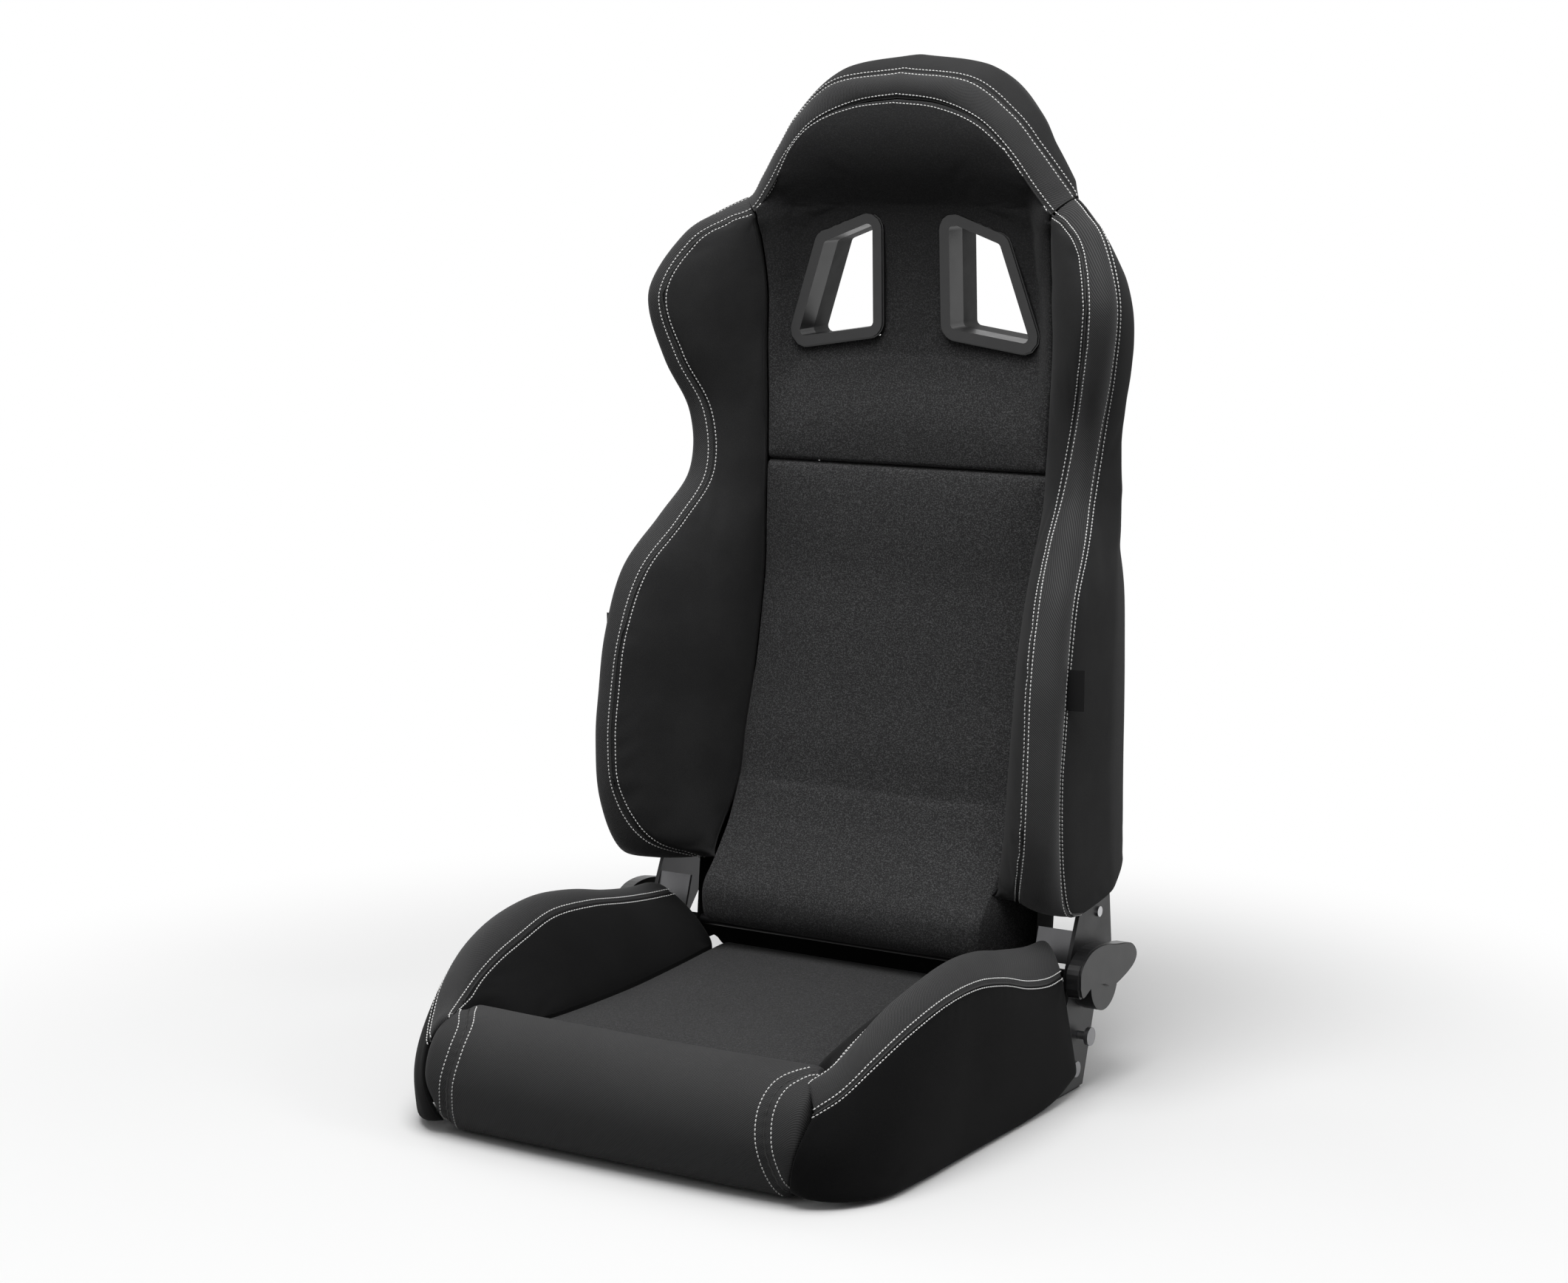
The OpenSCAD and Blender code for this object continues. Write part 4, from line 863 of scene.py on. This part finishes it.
_, upperGrid, upperNormals = makePad(
    "back_insert_upper", outer, inner, [(0, knit)], "backrest", ["back_insert_upper"],
    cap=2.5, keep=keep, heldMore=nearSlot, sink=2.0)

# Second stitch row of the head: up the insert's sides from the shoulders and round its top
shoulder = int(split * nRows) + 1
p, q = rowBeside(upperGrid[shoulder:], upperNormals[shoulder:], -1, -stitch["rowOffset"])
backLines["white"] += [(p[:-1], q[:-1]), (flipX(p[:-1]), flipX(q[:-1]))]
p, q = rowBeside(upperGrid.transpose(1, 0, 2), upperNormals.transpose(1, 0, 2), -1, -stitch["rowOffset"])
backLines["white"].append((p[1:-1], q[1:-1]))
print("inserts made")

# Rear cover: a patch between the rear edges of the side covers, up to a little above the shoulders
rearTop = mix(headT, 1, 0.4)
lowRows = headT * (0.01 + 0.98 * np.linspace(0, 1, 70))
rearT = np.concatenate([lowRows, [headT * 1.015], np.linspace(headT * 1.02, rearTop, 16)])
right = sidePoint(rearT, np.ones_like(rearT))
left = flipX(right)
u = np.linspace(0, 1, 73)
s = 2 * u - 1
highRow = sidePoint(1 - np.abs(s) * (1 - rearTop), np.ones_like(s))
highRow[:, 0] *= -np.sign(s + 1e-9)
flat = patchGrid(mix(right[0], left[0], u[:, None]), highRow, right, left)
flat[..., 0] *= 1 - 2 / seat["insertHalf"]
outer, inner = flat.copy(), flat - np.array([0, seat["cover"], 0])
keep = keptQuads(inSlot(outer[..., 0], outer[..., 2] + 1.0, slots["rearHole"]))
makePad("back_rear_cover", outer, inner, [(0, plain)], "backrest", ["back_rear_cover"],
        cap=0, keep=keep, sink=1.5)
print("rear cover made")


# One thin cloth surface over a grid of points
def makeSheet(name, grid, material, body, nodes):
    nu, nv = grid.shape[:2]
    across, along = lengthsAlong(grid, 0), lengthsAlong(grid, 1)
    faces = gridFaces(nu, nv, 0, np.ones((nu - 1, nv - 1), bool), False)
    uv = np.stack([across, along], -1).reshape(-1, 2)
    obj = newObject(name, grid.reshape(-1, 3), faces, [material], None, uv)
    dress(obj, body, nodes)


straps = {
    "thickness": 2.0, "width": 36.0, "backSag": 3.0, "seatSag": 2.0, "seatHalf": 177.5, "seatAt": (-55.5, 63.3),
    "seatX": (-108, -54, 0, 54, 108),
    "back": ((205, 222.3, 290), (198, 233.1, 360), (191.5, 243.9, 430), (185, 254.6, 500)),
}
# Section of a strap: across and through, as parts of its half width and of its thickness
strapEdge = np.array([(-1, 0), (-0.97, 0.5), (-0.9, 0.5), (0.9, 0.5), (0.97, 0.5),
                      (1, 0), (0.97, -0.5), (0.9, -0.5), (-0.9, -0.5), (-0.97, -0.5)])
strapEnd = np.array([[0, 1, 8, 9], [1, 2, 7, 8], [2, 3, 6, 7], [3, 4, 5, 6]])


# Woven straps, each the section carried along a shallow parabola: (centre, ahead, across, half length, sag)
def makeStraps(name, bands, body, nodes):
    points, faces, start = [], [], 0
    for centre, ahead, across, halfLength, sag in bands:
        ahead, across = np.array(ahead, float), np.array(across, float)
        through = unit(np.cross(ahead, across))
        a = np.linspace(-1, 1, 41)[:, None, None]
        ring = np.array(centre, float) + a * ahead * halfLength
        ring = ring + across * (strapEdge[None, :, :1] * straps["width"] / 2)
        ring = ring + through * (strapEdge[None, :, 1:] * straps["thickness"] - sag * (1 - a**2))
        n, m = ring.shape[:2]
        points.append(ring.reshape(-1, 3))
        faces.append(ringFaces(n, m, start))
        faces.append((strapEnd + start)[:, ::-1])
        faces.append(strapEnd + start + (n - 1) * m)
        start += n * m
    obj = newObject(name, np.concatenate(points), np.concatenate(faces), [strap], smoothShade=False)
    dress(obj, body, nodes)


makeStraps("back_straps", [
    ((0, y, z), (1, 0, 0), (0, 0, 1), half, straps["backSag"]) for half, y, z in straps["back"]],
    "backrest", ["back_webbing"])
makeStraps("seat_straps", [
    ((x, *straps["seatAt"]), (0, 1, 0), (1, 0, 0), straps["seatHalf"], straps["seatSag"])
    for x in straps["seatX"]], "base", ["seat_webbing"])

# Painted shade as a sheet: a near-black cloth hung from the lowest cross tube behind the seat gap,
# with soft upright folds and a flap at each end turned forwards beside the recliner
gapShadeSheet = {"halfCut": 234.0, "halfFlat": 186.0, "turn": 12.0, "rear": 200.0, "lean": 14.0, "low": 72.0,
         "drop": 154.0, "foldDepth": 1.6, "foldTurns": 19.0, "flat": (466, 155)}
u, v = np.meshgrid(np.linspace(-1, 1, 85), np.linspace(0, 1, 21), indexing="ij")
along = np.abs(u) * gapShadeSheet["halfCut"]
turned = np.clip((along - gapShadeSheet["halfFlat"]) / gapShadeSheet["turn"], 0, 1)
fold = gapShadeSheet["foldDepth"] * np.sin(u * gapShadeSheet["foldTurns"]) * (1 - v)**0.7 * (along < gapShadeSheet["halfFlat"] - 6)
flap = np.maximum(along - gapShadeSheet["halfFlat"] - gapShadeSheet["turn"], 0)
valance = np.stack([
    np.sign(u) * (np.minimum(along, gapShadeSheet["halfFlat"]) + 6 * turned),
    gapShadeSheet["rear"] + gapShadeSheet["lean"] * v + fold - 6 * turned - flap,
    gapShadeSheet["low"] + 12 * turned + (gapShadeSheet["drop"] - 4 * turned) * v], -1)
makeSheet("back_valance", valance, gapShadeCloth, "backrest",
          ["back_valance"])

# Blank folded tags sewn into the outer seam
tag = {"root": (249.0, 107.0), "height": 38.0, "reach": 16.0, "curl": 3.0, "flatReach": 16.6}
u, v = np.meshgrid(np.linspace(0, 1, 15), np.linspace(0, 1, 9), indexing="ij")
for side, name, low, cover in ((-1, "left", 384.0, "back_side.L"), (1, "right", 372.0, "back_side.R")):
    reach = side * (tag["root"][0] + tag["reach"] * u)
    leaf = np.stack([reach, tag["root"][1] + tag["curl"] * u**2, low + tag["height"] * v], -1)
    makeSheet("tag_" + name, leaf,
              tagCloth, "backrest", ["fabric_tag_" + name])

sewLines("back_stitches", backLines["white"], whiteThread, "backrest")
sweepLines("back_seams", backLines["seam"], seamCord, blackThread, "backrest")

baseShape = {"crown": 0.06, "crestLow": 6.0, "crestMore": 11.0, "seamGap": 0.3,
             "panelSwell": 5.0, "frontSwell": 9.0}
baseLines = {"white": [], "seam": []}
baseRows = 91
t = np.linspace(0, 1, baseRows)


# Way out of the side panel, square to its foot
def panelOut(t):
    d = curveAt(sideFoot, t + 0.02) - curveAt(sideFoot, t - 0.02)
    return unit(np.stack([d[..., 1], -d[..., 0], 0 * d[..., 0]], -1))


# Inner face of the base bolster: straight span plus a crown up and inwards
def innerFacePoint(t, f):
    a, b = curveAt(seatSeam, t), curveAt(innerCrest, t)
    crown = baseShape["crown"] * np.linalg.norm(b - a, axis=-1) * np.sin(np.pi * f)
    return a + (b - a) * f[..., None] + np.array([-0.75, 0, 0.66]) * crown[..., None]


# Twill crest: straight span plus an arch upwards that is lower at the front
def crestPoint(t, f):
    a, b = curveAt(innerCrest, t), curveAt(outerCrest, t)
    swell = (baseShape["crestLow"] + baseShape["crestMore"] * smooth(0, 0.35, t)) * np.sin(np.pi * f)
    return a + (b - a) * f[..., None] + np.array([0, 0, 1.0]) * swell[..., None]


faceC, crestC = 20, 16
tt, ff = np.meshgrid(t, spread(faceC), indexing="ij")
facePart = innerFacePoint(tt, ff)
facePart[:, 0, 0] += baseShape["seamGap"]
tt, fc = np.meshgrid(t, spread(crestC), indexing="ij")
outer = np.concatenate([facePart, crestPoint(tt, fc)[:, 1:]], 1)
a = curveAt(seatSeam, t)
lowEdge = np.stack([a[:, 0] + 3, a[:, 1], np.full(baseRows, padFloor + 1)], -1)
highEdge = curveAt(outerCrest, t) - panelOut(t) * (seat["cover"] + 1)
inner = mix(lowEdge[:, None], highEdge[:, None], np.linspace(0, 1, outer.shape[1])[None, :, None])
seatBolster, seatGrid, seatNormals = makePad(
    "seat_bolster.R", outer, inner, [(0, plainBaseShaded), (faceC, twill)], "base", ["seat_bolster_right"],
    seams=[faceC], cap=4.0)
mirrorPad(seatBolster, "seat_bolster.L", "base", ["seat_bolster_left"])
addSeam(baseLines, seatGrid, seatNormals, faceC)
addSeam(baseLines, seatGrid, seatNormals, -1, sides=(-1,))

# Side panels of the base
tt, fp = np.meshgrid(np.linspace(0.002, 0.998, baseRows), np.linspace(0, 1, 27), indexing="ij")
a, b = curveAt(outerCrest, tt), curveAt(sideFoot, tt)
n = panelOut(tt)
swell = baseShape["panelSwell"] * (1 - smooth(0.3, 0.6, tt))
swell = (swell + baseShape["frontSwell"] * (1 - smooth(0.05, 0.4, tt))) * np.sin(np.pi * fp)
outer = mix(a, b, fp[..., None]) + n * swell[..., None]
inner = outer - n * seat["cover"]
sidePanel, panelGrid, panelNormals = makePad(
    "seat_side.R", outer, inner, [(0, plainBaseShaded)], "base", ["seat_side_panel_right"],
    cap=2.0, sink=1.8)
mirrorPad(sidePanel, "seat_side.L", "base", ["seat_side_panel_left"])
addSeam(baseLines, panelGrid, panelNormals, 0, sides=(1,), cord=False)

# Seat insert: starts behind the front roll and runs on under the backrest's apron
seatInsert = {"from": 1 / 9, "crown": 5.0, "seamGap": 0.3, "rearReach": 17.0}
v, u = np.meshgrid(np.linspace(0, 1, 80), spread(44), indexing="ij")
p = curveAt(seatSeam, mix(seatInsert["from"], 1, v))
p[0, :, 1] = seat["rollRear"] + seatInsert["seamGap"]
p[..., 1] += seatInsert["rearReach"] * smooth(0.88, 1, v)
x = mix(-p[..., 0], p[..., 0], u) * seamInset
outer = np.stack([x, p[..., 1], p[..., 2] + seatInsert["crown"] * pillow(u, v)], -1)
inner = np.stack([x, p[..., 1], np.full_like(x, padFloor)], -1)
makePad("seat_insert", outer, inner, [(0, knit)], "base", ["seat_insert"], cap=5.0)

# Front roll; corner seams are (x, part of the way round the roll) from the crest down to the floor
cornerSeam = [(184, 0.262), (177, 0.309), (166.5, 0.378), (164, 0.464), (167, 0.556), (172, 0.667),
              (178, 0.786), (180.5, 0.84)]
rollShape = {"half": 186.0, "lowNarrow": 5.0, "endBulge": 12.0, "endLag": 7.0, "core": (-232.0, 50.0),
             "hollow": 0.42, "cornerRow": 7.5, "seamDepth": 2.6, "seamWidth": 4.2, "held": 6.0}
v, u = np.meshgrid(np.linspace(0, 1, 76), np.linspace(0, 1, 121), indexing="xy")
p = curveAt([(y, z, 0) for y, z in rollEdge], v)
bulge = rollShape["endBulge"] * smooth(0.2, 0.42, v) * (1 - smooth(0.55, 0.85, v))
rollHalf = rollShape["half"] - rollShape["lowNarrow"] * smooth(0.45, 0.85, v) + bulge
x = mix(-1, 1, u) * rollHalf
lag = rollShape["endLag"] * np.abs(2 * u - 1)**3 * np.sin(np.pi * v)
outer = np.stack([x, p[..., 0] + lag, p[..., 1]], -1)
q = mix(np.array(rollShape["core"]), p[..., :2], rollShape["hollow"])
innerY = np.where(v == 0, seat["rollRear"], q[..., 0])
innerZ = np.where(v == 0, padFloor, np.maximum(q[..., 1], np.where(v > 0.9, 12, 0)))
inner = np.stack([x, innerY, innerZ], -1)
around = lengthsAlong(outer, 1)[60]


# Corner seam moved sideways by d: (x, length round the roll), with 80 points
def cornerLine(d):
    c = curveAt([(a, b, 0) for a, b in cornerSeam], np.linspace(0, 1, 80))
    line = np.stack([c[:, 0], np.interp(c[:, 1], v[0], around)], -1)
    ahead = unit(np.gradient(line, axis=0))
    return line + d * np.stack([ahead[:, 1], -ahead[:, 0]], -1)


# Points and normals of the roll's grid at (x, length round the roll)
def onRoll(grid, normals, line):
    j = np.interp(line[:, 1], around, np.arange(len(around)))
    half = np.interp(j, np.arange(len(around)), rollHalf[0])
    i = np.clip((line[:, 0] / half + 1) / 2 * (len(grid) - 1), 0, len(grid) - 1)
    a, b = np.minimum(i.astype(int), len(grid) - 2), np.minimum(j.astype(int), len(around) - 2)
    f, g = (i - a)[:, None], (j - b)[:, None]
    pick = lambda s: mix(mix(s[a, b], s[a + 1, b], f), mix(s[a, b + 1], s[a + 1, b + 1], f), g)
    return pick(grid), unit(pick(normals))


seamLine = cornerLine(0)
flatRoll = np.stack([np.abs(x), np.broadcast_to(around, x.shape)], -1)
seamGap = np.sqrt(((flatRoll[:, :, None] - seamLine[None, None, ::4])**2).sum(-1)).min(-1)
rollOut = gridNormals(outer, inner)
outer = outer - rollOut * (rollShape["seamDepth"] * np.exp(-(seamGap / rollShape["seamWidth"])**2))[..., None]
_, rollGrid, rollNormals = makePad(
    "front_roll", outer, inner, [(0, twill)], "base", ["front_roll"], cap=3.0,
    heldMore=seamGap < rollShape["held"])
p, q = onRoll(rollGrid, rollNormals, seamLine)
baseLines["seam"] += [(p - q * 0.3, q), (flipX(p - q * 0.3), flipX(q))]
for side in (-1, 1):
    p, q = onRoll(rollGrid, rollNormals, cornerLine(side * rollShape["cornerRow"]))
    baseLines["white"] += [(p, q), (flipX(p), flipX(q))]
sewLines("base_stitches", baseLines["white"], whiteThread, "base")
sweepLines("base_seams", baseLines["seam"], seamCord, blackThread, "base")
print("base cushions made")

stage = {"floorTone": 0.86, "floorBounce": 0.08, "world": 0.55, "horizon": 0.14, "skyTop": 0.9,
         "floorHalf": 30000.0, "floorZ": -0.4, "floorFade": (0.55, 1.1)}
# Each lamp: place, target, size in metres and power in watts
lamps = {
    "key": ((0.25, -0.9, 3.1), (0, 0, 0.4), 2.2, 74.0),
    "side": ((1.5, 0.1, 1.2), (0.2, 0.2, 0.7), 0.5, 3.0),
    "rim": ((-2.2, 0.9, 1.8), (0, 0.1, 0.5), 1.2, 6.0),
}


# 1 for camera, glossy and transmission rays, 0 for the rays that light the object
def straightRays(tree):
    path = addNode(tree, "ShaderNodeLightPath").outputs
    most = path["Is Camera Ray"]
    for name in ("Is Glossy Ray", "Is Transmission Ray"):
        most = addNode(tree, "ShaderNodeMath", {0: most, 1: path[name]}, operation="MAXIMUM").outputs[0]
    return most


# Pale floor that keeps the shadow near the seat and fades to plain white further out
def makeFloor():
    material = bpy.data.materials.new("floor")
    material.use_nodes = True
    tree = material.node_tree
    tree.nodes.clear()
    grey = lambda tone: {0: (tone, tone, tone, 1.0)}
    pale = addNode(tree, "ShaderNodeBsdfDiffuse", grey(stage["floorTone"])).outputs[0]
    dark = addNode(tree, "ShaderNodeBsdfDiffuse", grey(stage["floorBounce"])).outputs[0]
    glow = addNode(tree, "ShaderNodeEmission").outputs[0]
    place = addNode(tree, "ShaderNodeTexCoord").outputs["Object"]
    far = addNode(tree, "ShaderNodeVectorMath", {0: place}, operation="LENGTH").outputs["Value"]
    fade = Wire(tree, far).ramp(*stage["floorFade"])
    seen = addNode(tree, "ShaderNodeMixShader", {0: fade, 1: pale, 2: glow}).outputs[0]
    both = addNode(tree, "ShaderNodeMixShader", {0: straightRays(tree), 1: dark, 2: seen}).outputs[0]
    addNode(tree, "ShaderNodeOutputMaterial", {0: both})
    size, low = stage["floorHalf"], stage["floorZ"]
    corners = [(-size, -size, low), (size, -size, low), (size, size, low), (-size, size, low)]
    floor = newObject("floor", np.array(corners), [[0, 1, 2, 3]], [material])


# Soft light that grows from the horizon up; straight rays see white
def makeWorld():
    world = bpy.data.worlds.new("studio")
    scene.world = world
    world.use_nodes = True
    tree = world.node_tree
    place = addNode(tree, "ShaderNodeTexCoord").outputs["Generated"]
    height = addNode(tree, "ShaderNodeSeparateXYZ", {0: place}).outputs[2]
    inputs = {"Value": height, "From Min": 0.0, "From Max": stage["skyTop"], "To Min": stage["horizon"]}
    back = tree.nodes["Background"]
    join(tree, addNode(tree, "ShaderNodeMapRange", inputs).outputs[0], back.inputs[0])
    join(tree, stage["world"], back.inputs[1])
    seen = addNode(tree, "ShaderNodeBackground", {0: (1, 1, 1, 1), 1: 1.0}).outputs[0]
    inputs = {0: straightRays(tree), 1: back.outputs[0], 2: seen}
    join(tree, addNode(tree, "ShaderNodeMixShader", inputs).outputs[0], tree.nodes["World Output"].inputs[0])


# Round area light at a place, aimed at a target
def makeLight(name, place, target, size, power):
    data = bpy.data.lights.new(name, "AREA")
    data.shape = "DISK"
    data.size = size
    data.energy = power
    light = bpy.data.objects.new(name, data)
    scene.collection.objects.link(light)
    light.location = place
    light.rotation_euler = (Vector(target) - Vector(place)).to_track_quat("-Z", "Y").to_euler()


makeFloor()
makeWorld()
for lampName, lamp in lamps.items():
    makeLight(lampName, *lamp)
scene.view_settings.view_transform = "Standard"
print("stage made")
